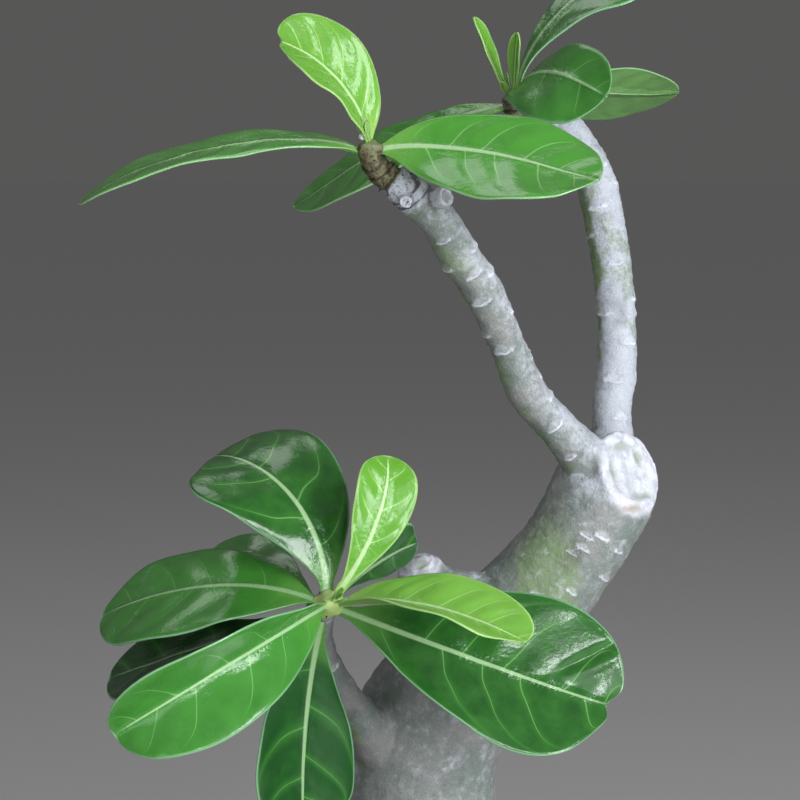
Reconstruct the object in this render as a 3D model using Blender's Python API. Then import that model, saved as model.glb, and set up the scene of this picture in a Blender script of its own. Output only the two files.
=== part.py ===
"""Potted desert rose: a thick grey trunk with three shoots of leaves, in a plain clay pot.

Every size below is in millimetres and every angle in degrees; MM turns them into Blender's metres.
The origin is the middle of the pot's base, +Z is up, and the plant's front faces -Y.
"""
import bpy
import bmesh
import numpy as np
from math import atan2, cos, pi, radians, sin
from mathutils import Matrix, Vector, noise

MM = 0.001
GAP = 0.3            # clearance between pieces that touch on the real plant
SMOOTH_UP_TO = 40.0  # edges that turn by less than this are shaded smooth

# Pot: a thrown clay pot with a collar
POT_HEIGHT = 105.0
POT_RIM_RADIUS = 75.0
POT_WALL = 5.0
POT_BASE_RADIUS = 51.0
POT_FLOOR = 8.0
COLLAR_HEIGHT = 19.0
COLLAR_STEP = 4.0
LIP_ROUND = 1.8
POT_EDGE = 1.2       # worn-down edges of the base, the collar and the inside of the lip
POT_CORNER = 3.0     # slope where the inside wall meets the floor
DRAIN_RADIUS = 5.0
DRAIN_CIRCLE = 27.0
DRAIN_COUNT = 4
POT_STEPS = 40

# Soil: fills the pot to just under the lip
SOIL_TOP = 92.0
SOIL_RINGS = 6
SOIL_RELIEF = 0.9

# Foot of the trunk, sunk in the soil: height and radius from its underside up
FOOT = ((44, 14), (50, 24), (62, 31), (78, 35), (92, 36))

# Routes of the trunk and its branches: x, y, z and radius at each point
TRUNK = ((0, 0, 104, 34.5), (-1, 0, 120, 29.5), (-1, 0, 138, 26.2), (1, 0, 156, 24.8), (8, 0, 172, 24),
         (20, 1, 187.5, 21.8), (32, 2, 199.5, 18.6), (43, 3, 212.5, 16.9), (52.5, 4, 226, 16.6),
         (60, 5, 240, 17))
LEFT_BRANCH = ((57, 2, 247, 9), (50, -3, 255, 7.3), (43, -6, 262.5, 6.3), (34, -10, 273.5, 6.3),
               (27, -15, 290, 5.5), (19.5, -20, 306, 6.2), (12, -25, 317.5, 6.4), (6, -29, 327.5, 6.1),
               (-2, -32, 335.5, 5.6))
RIGHT_BRANCH = ((61, 16, 244, 9.5), (64, 23, 256, 7.2), (64, 25, 266, 6.6), (65.5, 27, 276, 6.7),
                (65.5, 29, 292, 6.6), (63.5, 30, 314, 6.6), (60, 33, 334, 6.7), (56, 34.5, 346, 6.4),
                (49, 36.5, 356.5, 6.0), (41, 36.5, 359, 5.0))
LOW_BRANCH = ((-3, -5, 150, 15), (-14, -15, 163, 9), (-22, -26, 176, 6), (-29, -35, 190, 5.2),
              (-31.5, -41.5, 201.5, 4.4))
TRUNK_SIDES = 20
BRANCH_SIDES = 12
RING_SPACING = 6.0
BARK_RELIEF = 0.7
BARK_LUMPS = (14.0, 5.0)   # sizes of the bark's large and small lumps
BARK_STARTS = 5.0    # the foot stays smooth this far above the soil, so that it clears the soil's hole
BARK_EASES = 8.0     # and the relief then grows to full over this height
ROOT_RIDGES = 5      # thick roots that merge into the foot just above the soil
ROOT_RELIEF = 1.6
ROOT_LEVEL = 18.0    # height above the soil where the root ridges stand out most
ROOT_REACH = 16.0    # and how far they reach above and below it

# Slanted pruning cut on the head of the trunk, and the old one on its left shoulder
HEAD_CUT_AT = (67.5, -2, 247)
HEAD_CUT_FACING = (0.67, -0.64, 0.38)
HEAD_CUT_RADIUS = 14.0
SHOULDER_ROUTE = ((8, 0, 182, 20), (4.5, -1, 201, 13.5), (1, -2, 213, 8))
SHOULDER_CUT_AT = (0.5, -2.5, 214.5)
SHOULDER_CUT_FACING = (-0.25, -0.35, 0.9)
SHOULDER_CUT_RADIUS = 6.9
CALLUS_WIDTH = 3.9   # the rolled rim of healed bark round each cut
CALLUS_HEIGHT = 1.3
CUT_ROOT = 5.0       # how deep a cut's own solid is sunk in the wood
HEAD_END = 0.6       # and how far below the cut face the head ends inside it

# Pruned stubs on the left branch: middle, facing, radius, height
STUBS = (((4.5, -33, 334), (0.8, -0.45, 0.25), 3.0, 6.0),
         ((-4.5, -37, 334.5), (-0.1, -0.9, -0.1), 1.8, 2.4))

# Leaf scars: crescents that step up the shoots, turned about them by the golden angle
SCAR_TURN = 137.5
SCAR_SIZE = (3.4, 2.2, 1.3)
SCAR_SUNK = 0.5      # how deep a scar's middle lies in the bark
SCARS_FROM = 0.3     # the scars' first and last places, as shares of a branch's route
SCARS_TO = 0.8

# Shoots at the branches' ends: the tip, the way that it grows, the bark's radius there, and the length
# over which the branch runs straight up to it
LOW_SHOOT = dict(tip=(-26, -58, 216), grows=(0.35, -0.83, 0.42), bark=3.5, straight=9)
LEFT_SHOOT = dict(tip=(-16, -38, 352), grows=(-0.30, -0.25, 0.90), bark=3.0, straight=5)
RIGHT_SHOOT = dict(tip=(30, 35, 368), grows=(-0.45, -0.10, 0.88), bark=3.0, straight=4)

BLADE = 0.9          # thickness of a leaf's blade
MIDRIB = 2.3         # thickness of its midrib at the base
LEAF_ROWS = 10
LEAF_COLUMNS = 6
ROUND_END = 0.09     # how far the middle of a leaf's end stands past its corners, as a share of its length
PETIOLE_REACH = 0.25 # share of the length over which the stalk widens into the blade
NOTCH_WIDTH = 0.22   # share of the half width that an end's notch takes
FOLD_ROUND = 2.0     # radius of the blade's bend at the midrib
SPINE_STEPS = 60     # straight steps that a midrib's curve is worked out in

# What the two unopened leaves of the right shoot share
BUD = dict(rows=6, columns=4, thick=1.1, down=3, out=3.4, petiole=0.9, fold=36, belly=0.95)

COLOURS = {
    "clay": (0.52, 0.22, 0.11), "soil": (0.07, 0.045, 0.03), "bark": (0.42, 0.42, 0.38),
    "old_leaf": (0.03, 0.14, 0.035), "full_leaf": (0.09, 0.32, 0.06), "young_leaf": (0.26, 0.55, 0.08),
}


def paint(obj, colour, roughness):
    """Give the object a material of its own."""
    mat = bpy.data.materials.new(obj.name)
    mat.use_nodes = True
    shader = mat.node_tree.nodes["Principled BSDF"]
    shader.inputs["Base Color"].default_value = (*COLOURS[colour], 1)
    shader.inputs["Roughness"].default_value = roughness
    obj.data.materials.append(mat)


def as_object(name, bm, smooth=True):
    """Turn a bmesh in millimetres into an object in metres."""
    bmesh.ops.scale(bm, vec=(MM, MM, MM), verts=bm.verts)
    mesh = bpy.data.meshes.new(name)
    bm.to_mesh(mesh)
    bm.free()
    if smooth:
        mesh.shade_smooth()
        mesh.set_sharp_from_angle(angle=radians(SMOOTH_UP_TO))
    obj = bpy.data.objects.new(name, mesh)
    bpy.context.scene.collection.objects.link(obj)
    return obj


def turned(profile, steps):
    """A closed solid turned about Z. The profile runs from the axis round to the axis, as (radius, z)."""
    bm = bmesh.new()
    verts = [bm.verts.new((r, 0, z)) for r, z in profile]
    edges = [bm.edges.new(pair) for pair in zip(verts, verts[1:])]
    bmesh.ops.spin(bm, geom=verts + edges, cent=(0, 0, 0), axis=(0, 0, 1), angle=2 * pi, steps=steps,
                   use_merge=True)
    bmesh.ops.remove_doubles(bm, verts=bm.verts, dist=1e-4)
    bmesh.ops.recalc_face_normals(bm, faces=bm.faces)
    return bm


def placed(bm, at, facing):
    """Stand a turned piece at a point, with its +Z along facing."""
    turn = Vector((0, 0, 1)).rotation_difference(Vector(facing)).to_matrix().to_4x4()
    bmesh.ops.transform(bm, matrix=Matrix.Translation(at) @ turn, verts=bm.verts)
    return bm


def smooth_route(route, spacing):
    """Points and radii about a spacing apart on a Catmull-Rom curve through the route."""
    knots = np.array(route, float)
    knots = np.vstack([2 * knots[0] - knots[1], knots, 2 * knots[-1] - knots[-2]])
    found = []
    for a, b, c, d in zip(knots, knots[1:], knots[2:], knots[3:]):
        count = max(1, round(np.linalg.norm((c - b)[:3]) / spacing))
        for u in np.arange(count) / count:
            found.append(0.5 * (2 * b + (c - a) * u + (2 * a - 5 * b + 4 * c - d) * u ** 2
                                + (3 * b - a - 3 * c + d) * u ** 3))
    found.append(knots[-2])
    return np.array(found)


def with_dome(points, steps=4):
    """Close the far end of a route with a round cap of the same radius."""
    end, radius = points[-1, :3], points[-1, 3]
    ahead = end - points[-2, :3]
    ahead = ahead / np.linalg.norm(ahead)
    cap = []
    for k in range(1, steps + 1):
        angle = k / steps * radians(80)
        cap.append([*(end + ahead * radius * sin(angle)), radius * cos(angle)])
    return np.vstack([points, cap])


def bark_height(at, relief):
    """How far the bark stands out of its round tube: lumps all the way up, and root ridges at the foot."""
    height = at.z - SOIL_TOP
    above = min(1.0, max(0.0, (height - BARK_STARTS) / BARK_EASES))
    large, small = BARK_LUMPS
    lumps = noise.noise(at / large) + 0.5 * noise.noise(at / small)
    flare = max(0.0, 1 - ((height - ROOT_LEVEL) / ROOT_REACH) ** 2)
    around = atan2(at.y, at.x)
    ridges = cos(ROOT_RIDGES * around + 0.6) + 0.5 * cos(2 * around)
    return above * (relief * lumps + ROOT_RELIEF * flare * ridges)


def tube(points, sides, relief):
    """A solid round tube along the points, with a surface like bark."""
    curve = bpy.data.curves.new("route", "CURVE")
    curve.dimensions = "3D"
    curve.bevel_depth = 1.0
    curve.bevel_resolution = (sides - 4) // 2
    curve.use_fill_caps = True
    spline = curve.splines.new("POLY")
    spline.points.add(len(points) - 1)
    for point, (x, y, z, r) in zip(spline.points, points):
        point.co = (x, y, z, 1)
        point.radius = r
    guide = bpy.data.objects.new("route", curve)
    mesh = bpy.data.meshes.new_from_object(guide)
    bm = bmesh.new()
    bm.from_mesh(mesh)
    bpy.data.objects.remove(guide)
    bpy.data.curves.remove(curve)
    bpy.data.meshes.remove(mesh)
    bmesh.ops.remove_doubles(bm, verts=bm.verts, dist=1e-3)
    bmesh.ops.recalc_face_normals(bm, faces=bm.faces)
    bm.normal_update()
    for vert in bm.verts:
        vert.co += vert.normal * bark_height(vert.co, relief)
    return bm


def leaf_scars(points, count):
    """Crescent scars of fallen leaves, evenly spaced along the branch and turned round it."""
    made = []
    for k in range(count):
        share = SCARS_FROM + (SCARS_TO - SCARS_FROM) * k / (count - 1)
        index = round(share * (len(points) - 1))
        before, centre, after = (Vector(point) for point in points[index - 1:index + 2, :3])
        ahead = (after - before).normalized()
        out = ahead.orthogonal().normalized()
        out.rotate(Matrix.Rotation(radians(SCAR_TURN * k), 3, ahead))
        turn = Matrix((ahead.cross(out), ahead, out)).transposed().to_4x4()
        at = Matrix.Translation(centre + out * (points[index, 3] - SCAR_SUNK))
        bm = bmesh.new()
        bmesh.ops.create_uvsphere(bm, u_segments=7, v_segments=4, radius=1)
        bmesh.ops.scale(bm, vec=SCAR_SIZE, verts=bm.verts)
        bmesh.ops.transform(bm, matrix=at @ turn, verts=bm.verts)
        made.append(bm)
    return made


def grown_together(name, pieces):
    """One object, the union of the pieces. The first piece is the one that the others grow from."""
    body = as_object(name, pieces[0])
    grown = bpy.data.collections.new("grown")
    for number, piece in enumerate(pieces[1:]):
        obj = as_object(f"grown_{number}", piece)
        bpy.context.scene.collection.objects.unlink(obj)
        grown.objects.link(obj)
    union = body.modifiers.new("union", "BOOLEAN")
    union.operation = "UNION"
    union.operand_type = "COLLECTION"
    union.collection = grown
    bpy.context.scene.collection.children.link(grown)
    bpy.context.view_layer.update()
    joined = bpy.data.meshes.new_from_object(body.evaluated_get(bpy.context.evaluated_depsgraph_get()))
    body.modifiers.remove(union)
    body.data = joined
    for obj in list(grown.objects):
        bpy.data.objects.remove(obj)
    bpy.data.collections.remove(grown)
    return body


def inner_wall(z):
    """Radius of the pot's inside at a height."""
    share = (z - POT_FLOOR) / (POT_HEIGHT - POT_FLOOR)
    foot = POT_BASE_RADIUS - POT_WALL
    return foot + (POT_RIM_RADIUS - POT_WALL - foot) * share


def build_pot():
    """The clay pot, with a collar, a round lip and drain holes round the middle of its base."""
    under_collar = POT_HEIGHT - COLLAR_HEIGHT
    lip_middle = POT_HEIGHT - LIP_ROUND
    lip = [(POT_RIM_RADIUS - LIP_ROUND + LIP_ROUND * cos(a), lip_middle + LIP_ROUND * sin(a))
           for a in (0, pi / 4, pi / 2)]
    inside = POT_RIM_RADIUS - POT_WALL
    profile = [(0, 0), (POT_BASE_RADIUS - POT_EDGE, 0), (POT_BASE_RADIUS, POT_EDGE),
               (POT_RIM_RADIUS - COLLAR_STEP - POT_EDGE, under_collar),
               (POT_RIM_RADIUS - 2 * POT_EDGE, under_collar),
               (POT_RIM_RADIUS - POT_EDGE, under_collar + POT_EDGE), *lip,
               (inside + POT_EDGE, POT_HEIGHT), (inside, POT_HEIGHT - POT_EDGE),
               (inner_wall(POT_FLOOR + POT_CORNER), POT_FLOOR + POT_CORNER),
               (inner_wall(POT_FLOOR) - POT_CORNER, POT_FLOOR), (0, POT_FLOOR)]
    pot = as_object("pot", turned(profile, POT_STEPS))
    paint(pot, "clay", 0.85)
    for number in range(DRAIN_COUNT):
        bm = bmesh.new()
        bmesh.ops.create_cone(bm, cap_ends=True, segments=16, radius1=DRAIN_RADIUS, radius2=DRAIN_RADIUS,
                              depth=4 * POT_FLOOR)
        turn = 2 * pi * (number + 0.5) / DRAIN_COUNT
        at = Vector((DRAIN_CIRCLE * cos(turn), DRAIN_CIRCLE * sin(turn), POT_FLOOR / 2))
        bmesh.ops.translate(bm, vec=at, verts=bm.verts)
        cutter = as_object(f"drain_{number}", bm, smooth=False)
        cutter.hide_render = True
        cutter.display_type = "WIRE"
        hole = pot.modifiers.new(f"drain_{number}", "BOOLEAN")
        hole.operation = "DIFFERENCE"
        hole.object = cutter


def build_soil(trunk_points):
    """The soil, level with its own grain, and a plain hole for the foot of the trunk."""
    wider = 1 / cos(pi / POT_STEPS)
    hole = [(r * wider + GAP, z) for x, y, z, r in trunk_points if z < SOIL_TOP - 2]
    edge = np.interp(SOIL_TOP, trunk_points[:, 2], trunk_points[:, 3]) * wider + GAP
    bottom = POT_FLOOR + GAP
    rim = inner_wall(SOIL_TOP) * cos(pi / POT_STEPS) - GAP
    top = [(edge + (rim - edge) * k / SOIL_RINGS, SOIL_TOP) for k in range(SOIL_RINGS + 1)]
    profile = [(0, hole[0][1] - GAP), (hole[0][0], hole[0][1] - GAP), *hole[1:], *top,
               (inner_wall(POT_FLOOR + POT_CORNER) - 2 * GAP, POT_FLOOR + POT_CORNER),
               (inner_wall(POT_FLOOR) - POT_CORNER - 2 * GAP, bottom), (0, bottom)]
    bm = turned(profile, POT_STEPS)
    for vert in bm.verts:
        if abs(vert.co.z - SOIL_TOP) < 0.01:
            vert.co.z += SOIL_RELIEF * (noise.noise(vert.co / 6) + noise.noise(vert.co / 17))
    paint(as_object("soil", bm), "soil", 1.0)


def callused_cut(at, facing, radius):
    """A healed pruning cut: a flat face in a rolled rim, its root sunk in the wood."""
    profile = [(0, 0), (radius - CALLUS_WIDTH, 0), (radius - CALLUS_WIDTH * 0.7, CALLUS_HEIGHT * 0.85),
               (radius - CALLUS_WIDTH / 3, CALLUS_HEIGHT), (radius - 0.2, CALLUS_HEIGHT / 4),
               (radius, -CALLUS_HEIGHT), (radius - CALLUS_WIDTH / 2, -CUT_ROOT), (0, -CUT_ROOT)]
    return placed(turned(profile, 20), at, facing)


def pruned_stub(at, facing, radius, height):
    """The short stub of a twig that was cut off."""
    profile = [(0, height - 0.3), (radius * 0.55, height - 0.4), (radius * 0.8, height),
               (radius, height - 0.7), (radius * 0.9, height / 2), (radius * 1.1, 0),
               (radius, -2.5), (0, -2.5)]
    return placed(turned(profile, 10), at, facing)


def shoot_end(shoot):
    """The last two points of a branch's route, on the line that its shoot grows along."""
    tip, grows, bark = Vector(shoot["tip"]), Vector(shoot["grows"]).normalized(), shoot["bark"]
    start = tip - grows * (bark + shoot["straight"])
    end = tip - grows * bark
    return (*start, bark * 1.2), (*end, bark)


def build_trunk():
    """The grown wood: foot, trunk, three branches, the callused cuts, the stubs and the leaf scars."""
    foot = [(0, 0, z, r) for z, r in FOOT]
    trunk_points = smooth_route((*foot, *TRUNK), RING_SPACING)
    head = tube(with_dome(trunk_points), TRUNK_SIDES, BARK_RELIEF)
    facing = Vector(HEAD_CUT_FACING).normalized()
    cut = bmesh.ops.bisect_plane(head, geom=head.verts[:] + head.edges[:] + head.faces[:], clear_outer=True,
                                 plane_co=Vector(HEAD_CUT_AT) - facing * HEAD_END, plane_no=facing)
    bmesh.ops.contextual_create(head, geom=[e for e in cut["geom_cut"] if isinstance(e, bmesh.types.BMEdge)])
    pieces = [head, callused_cut(HEAD_CUT_AT, HEAD_CUT_FACING, HEAD_CUT_RADIUS)]
    pieces.append(tube(with_dome(smooth_route(SHOULDER_ROUTE, RING_SPACING)), 16, BARK_RELIEF))
    pieces.append(callused_cut(SHOULDER_CUT_AT, SHOULDER_CUT_FACING, SHOULDER_CUT_RADIUS))
    for route, shoot, scars in ((LEFT_BRANCH, LEFT_SHOOT, 9), (RIGHT_BRANCH, RIGHT_SHOOT, 8),
                                (LOW_BRANCH, LOW_SHOOT, 4)):
        points = smooth_route((*route, *shoot_end(shoot)), RING_SPACING)
        pieces.append(tube(with_dome(points), BRANCH_SIDES, BARK_RELIEF * 0.5))
        pieces += leaf_scars(points, scars)
    pieces += [pruned_stub(*stub) for stub in STUBS]
    paint(grown_together("trunk", pieces), "bark", 0.8)
    return trunk_points


def shoot_frame(grows):
    """Columns: the picture's right, the way up across the shoot, and the way that it grows."""
    axis = Vector(grows).normalized()
    right = (Vector((1, 0, 0)) - axis * axis.x).normalized()
    return np.array([right, axis.cross(right), axis]).T


def leaf_surface(shoot, t, v, around, rise, length, width, down=3.6, out=3.9, droop=0.0, bend=1.0, curl=0.0,
                 sweep=0.0, roll=0.0, twist=0.0, fold=8.0, belly=1.15, petiole=1.7, notch=0.0, skew=0.0,
                 uneven=0.0):
    """Points of a leaf's upper face for shares t along it and v across it, -1 to 1.

    The midrib starts down the shoot from its tip and out from its middle, heads around it (0 is the
    picture's right, 90 its top) and rises from the plane across it. Along its length it droops, curls at
    its end, sweeps to the side, and rolls and twists. The blade folds up about the midrib, is widest where
    belly puts it, and may have a notch in its end, a skewed end or uneven halves.
    """
    s = np.linspace(0, 1, SPINE_STEPS + 1)
    heading = np.radians(around + sweep * s)
    pitch = np.radians(rise - droop * s ** bend - curl * np.clip((s - 0.7) / 0.3, 0, 1) ** 1.5)
    turn = np.radians(roll + twist * s)
    along = np.stack([np.cos(pitch) * np.cos(heading), np.cos(pitch) * np.sin(heading), np.sin(pitch)], 1)
    level = np.stack([-np.sin(heading), np.cos(heading), np.zeros_like(s)], 1)
    side = level * np.cos(turn)[:, None] + np.cross(along, level) * np.sin(turn)[:, None]
    frame = shoot_frame(shoot["grows"])
    along, side = along @ frame.T, side @ frame.T
    upper = np.cross(along, side)
    start = np.array(shoot["tip"]) - frame[:, 2] * down + along[0] * out
    walked = np.cumsum((along[1:] + along[:-1]) / 2, 0) * length / SPINE_STEPS
    spine = start + np.vstack([np.zeros(3), walked])

    u = t * (1 - ROUND_END)
    widest = belly / (belly + 0.5)
    blade = (u / widest) ** belly * ((1 - u) / (1 - widest)) ** 0.5 * width / 2
    stalk = petiole * np.exp(-(u / PETIOLE_REACH) ** 2)
    half = np.hypot(np.maximum(blade, petiole * (1 - u) ** 2), stalk)
    y = v * half * (1 + uneven * v * np.clip(4 * t, 0, 1))
    x = t * (1 - ROUND_END * v ** 2) + skew / length * v * t ** 4
    x -= notch / length * np.exp(-(v / NOTCH_WIDTH) ** 2) * np.clip(5 * t - 4, 0, 1) ** 2
    lift = (np.hypot(y, FOLD_ROUND) - FOLD_ROUND) * sin(radians(fold))
    place = [np.interp(x, s, spine[:, k]) + np.interp(x, s, side[:, k]) * y * cos(radians(fold))
             + np.interp(x, s, upper[:, k]) * lift for k in range(3)]
    return np.stack(place, -1)


def leaf(name, shoot, colour, rows=LEAF_ROWS, columns=LEAF_COLUMNS, thick=MIDRIB, **form):
    """A leaf with its midrib standing out below: a grid laid on the leaf's surface and given thickness."""
    bm = bmesh.new()
    bmesh.ops.create_grid(bm, x_segments=rows, y_segments=columns, size=1)
    flat = np.array([vert.co for vert in bm.verts])
    t, v = (flat[:, 0] + 1) / 2, flat[:, 1]
    for vert, point in zip(bm.verts, leaf_surface(shoot, t, v, **form)):
        vert.co = point
    bmesh.ops.triangulate(bm, faces=bm.faces, quad_method="FIXED")
    obj = as_object(name, bm)
    midrib = obj.vertex_groups.new(name="midrib")
    weight = BLADE / thick + (1 - BLADE / thick) * np.exp(-(v / 0.12) ** 2) * (1 - t) ** 0.7
    for index, share in enumerate(weight):
        midrib.add([index], float(share), "REPLACE")
    solid = obj.modifiers.new("thickness", "SOLIDIFY")
    solid.thickness = thick * MM
    solid.offset = -1
    solid.vertex_group = "midrib"
    paint(obj, colour, 0.35)


def build_low_leaves():
    """Rosette of the low shoot, nearest the viewer."""
    shoot = LOW_SHOOT
    leaf("leaf_low_right", shoot, "old_leaf", down=6, out=4.4, around=-21, rise=15, length=88, width=52,
         petiole=1.8, droop=2, sweep=3, roll=-8, twist=10, fold=15, curl=-10, notch=6, skew=3, belly=1.1)
    leaf("leaf_low_young_right", shoot, "young_leaf", around=-8, rise=63, length=63, width=29, petiole=1.3,
         droop=44, bend=0.75, sweep=-27, roll=-46, twist=31, fold=35, curl=-12, skew=4, uneven=-0.15,
         belly=0.85)
    leaf("leaf_low_young_up", shoot, "young_leaf", around=60, rise=37, length=46, width=20, petiole=1.3,
         droop=34, bend=1.2, sweep=30, roll=13, twist=-13, fold=11, curl=27, belly=1.35)
    leaf("leaf_low_up_left", shoot, "old_leaf", down=6, out=4.3, around=101, rise=18, length=71, width=50,
         petiole=1.8, droop=83, sweep=50, roll=-9, twist=37, fold=3, curl=11, skew=-8)
    leaf("leaf_low_left", shoot, "old_leaf", down=6.5, out=5.3, around=160, rise=-6, length=71, width=43,
         petiole=1.6, droop=46, bend=0.45, sweep=42, roll=23, twist=27, fold=3, uneven=0.1, belly=0.85)
    leaf("leaf_low_front", shoot, "old_leaf", down=3.8, out=4.2, around=217, rise=41, length=82, width=38,
         droop=74, bend=0.8, sweep=-4, roll=-48, twist=32, fold=43, curl=7, belly=0.95)
    leaf("leaf_low_under_left", shoot, "old_leaf", down=9.5, out=6.4, around=196, rise=-32, length=67,
         width=36, petiole=1.6, droop=18, roll=62, twist=-17, fold=14, curl=-9, uneven=0.25)
    leaf("leaf_low_hanging", shoot, "old_leaf", down=9, out=5.6, around=260, rise=-7, length=64, width=37,
         sweep=17, roll=-10, twist=-13, fold=8, curl=9, skew=-2.5, belly=1.2)
    leaf("leaf_low_back_left", shoot, "old_leaf", down=12.5, out=4.8, around=114, rise=-36, length=52, width=30,
         petiole=1.6, droop=26, sweep=34, roll=16, fold=10, uneven=0.3, belly=1.25)
    leaf("leaf_low_back_right", shoot, "old_leaf", down=10, out=4.8, around=46, rise=-2, length=43, width=18,
         droop=30, sweep=-17, roll=56, twist=-6, fold=4, curl=-7, skew=-3, uneven=0.12, belly=1.4)


def build_left_leaves():
    """Rosette of the left shoot."""
    shoot = LEFT_SHOOT
    leaf("leaf_left_long", shoot, "full_leaf", down=4, out=4, around=179, rise=45, length=89, width=30,
         droop=51, bend=0.45, sweep=17, roll=-8, twist=15, fold=3, curl=12, skew=1.5, belly=0.95)
    leaf("leaf_left_young", shoot, "young_leaf", down=3.2, out=3.5, around=164, rise=97, length=44, width=31,
         petiole=1.5, droop=64, sweep=10, roll=-12, twist=-20, fold=32, skew=-3, uneven=0.08, notch=2,
         belly=0.8)
    leaf("leaf_left_right", shoot, "full_leaf", down=2.8, out=3.7, around=-9, rise=-1, length=69, width=39,
         droop=25, bend=0.35, sweep=-29, roll=37, twist=-35, fold=8, curl=-12, uneven=-0.13, belly=0.8)


def build_right_leaves():
    """Rosette of the right shoot, behind, with its two unopened leaf buds."""
    shoot = RIGHT_SHOOT
    leaf("leaf_right_back_left", shoot, "full_leaf", down=3.4, out=3.5, around=165, rise=17, length=81,
         width=33, petiole=1.6, droop=33, bend=0.85, sweep=13, roll=-31, twist=18, fold=3, curl=-12,
         uneven=0.24, belly=1.0)
    leaf("leaf_right_front", shoot, "old_leaf", down=3.6, out=3.7, around=-65, rise=36, length=58, width=30,
         droop=86, bend=0.9, sweep=7, roll=6, twist=29, fold=3, curl=-12, uneven=-0.19, belly=1.0)
    leaf("leaf_right_up", shoot, "old_leaf", out=3.8, around=37, rise=51, length=72, width=28, petiole=1.3,
         droop=57, bend=0.65, sweep=-33, roll=2, twist=42, fold=3, curl=-12, uneven=-0.35, belly=1.5)
    leaf("leaf_right_back", shoot, "full_leaf", down=4.2, out=4.4, around=69, rise=1, length=84, width=30,
         petiole=1.5, droop=35, bend=0.6, sweep=-47, roll=-28, twist=4, fold=3, curl=-12, skew=1, uneven=0.15)
    leaf("leaf_bud_a", shoot, "young_leaf", **BUD, around=160, rise=87, length=28, width=9, roll=-6, droop=-12)
    leaf("leaf_bud_b", shoot, "young_leaf", **BUD, around=-42, rise=56, length=22, width=7, roll=70, sweep=8)


def build():
    for obj in list(bpy.data.objects):
        bpy.data.objects.remove(obj)
    trunk_points = build_trunk()
    build_pot()
    build_soil(trunk_points)
    build_low_leaves()
    build_left_leaves()
    build_right_leaves()


build()
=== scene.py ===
# %% [markdown]
# # A potted desert rose
# This plant keeps water in a swollen grey trunk. Thick bare branches rise from it, and each ends in a
# rosette of glossy leaves. The trunk was pruned hard twice, and the wounds have healed into pale knobs.
# We load the finished solids as a fixed frame, and then dress them piece by piece: leaves, wood, pot, soil.

# %% Load the frame
from math import cos, pi, radians, sin

import bmesh
import bpy
import numpy as np
from mathutils import Matrix, Vector, noise


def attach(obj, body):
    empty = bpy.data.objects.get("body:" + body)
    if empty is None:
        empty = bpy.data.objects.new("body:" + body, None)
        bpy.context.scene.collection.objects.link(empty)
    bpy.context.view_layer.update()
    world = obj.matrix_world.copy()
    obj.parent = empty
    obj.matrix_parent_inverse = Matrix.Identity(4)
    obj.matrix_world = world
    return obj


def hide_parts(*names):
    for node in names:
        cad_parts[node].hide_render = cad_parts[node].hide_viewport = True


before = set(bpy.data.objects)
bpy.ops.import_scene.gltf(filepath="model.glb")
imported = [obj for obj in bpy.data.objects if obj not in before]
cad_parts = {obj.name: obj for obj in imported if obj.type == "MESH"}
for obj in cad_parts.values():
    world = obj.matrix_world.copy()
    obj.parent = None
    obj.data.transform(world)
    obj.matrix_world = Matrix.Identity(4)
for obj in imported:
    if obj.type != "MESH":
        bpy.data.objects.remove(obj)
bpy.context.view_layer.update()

print("solids in the frame:", len(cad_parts))

# %% [markdown]
# Every size of the plant is in millimetres and every angle in degrees, as one measures with a ruler. A
# piece's vertices are scaled to metres just before they become an object, so that the object can stay at
# the origin, unturned, and a pattern on Object coordinates stays put.

# %% From a bmesh to a piece of the plant
MM = 0.001


def to_object(name, bm):
    """Make the bmesh an object in the scene."""
    mesh = bpy.data.meshes.new(name)
    bm.to_mesh(mesh)
    bm.free()
    made = bpy.data.objects.new(name, mesh)
    bpy.context.scene.collection.objects.link(made)
    return made


def add_piece(name, bm, nodes=()):
    """Make the bmesh an object that rides on the plant and stands for the nodes, which it hides."""
    bmesh.ops.scale(bm, vec=(MM, MM, MM), verts=bm.verts)
    piece = to_object(name, bm)
    piece.data.shade_smooth()
    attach(piece, "root")
    if nodes:
        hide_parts(*nodes)
    print(name, "has", len(piece.data.polygons), "faces")
    return piece


def raise_surface(bm, relief):
    """Move each vertex outward by its number of millimetres."""
    bm.normal_update()
    for vert, rise in zip(bm.verts, relief):
        vert.co += vert.normal * rise


def write_attribute(piece, name, *numbers):
    """Keep a number, or a group of three or four, for each vertex, for the material to read."""
    kinds = {1: ("FLOAT", "value"), 3: ("FLOAT_VECTOR", "vector"), 4: ("FLOAT_COLOR", "color")}
    kind, field = kinds[len(numbers)]
    attribute = piece.data.attributes.new(name, kind, "POINT")
    attribute.data.foreach_set(field, np.stack(numbers, 1).astype(np.float32).ravel())


# %% [markdown]
# A material is a small tree of nodes. A Field here stands for what a node gives out, a number or a colour
# that changes over the surface. Arithmetic on Fields adds Math nodes and every helper adds its own, so that
# a recipe below reads from top to bottom, like the coats of paint that it stands for.

# %% Fields and nodes
def by_math(operation, swapped=False):
    """A method of a Field that adds a Math node."""

    def method(field, other=0.0):
        first, second = (other, field) if swapped else (field, other)
        return add_node(field.tree, "ShaderNodeMath", {0: first, 1: second}, operation=operation)

    return method


class Field:
    """What a node gives out at each point of a surface."""

    def __init__(self, socket):
        self.socket, self.tree = socket, socket.id_data

    __add__, __radd__ = by_math("ADD"), by_math("ADD", swapped=True)
    __sub__, __rsub__ = by_math("SUBTRACT"), by_math("SUBTRACT", swapped=True)
    __mul__, __rmul__ = by_math("MULTIPLY"), by_math("MULTIPLY", swapped=True)
    __abs__, fraction, or_more = by_math("ABSOLUTE"), by_math("FRACT"), by_math("MAXIMUM")


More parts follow.
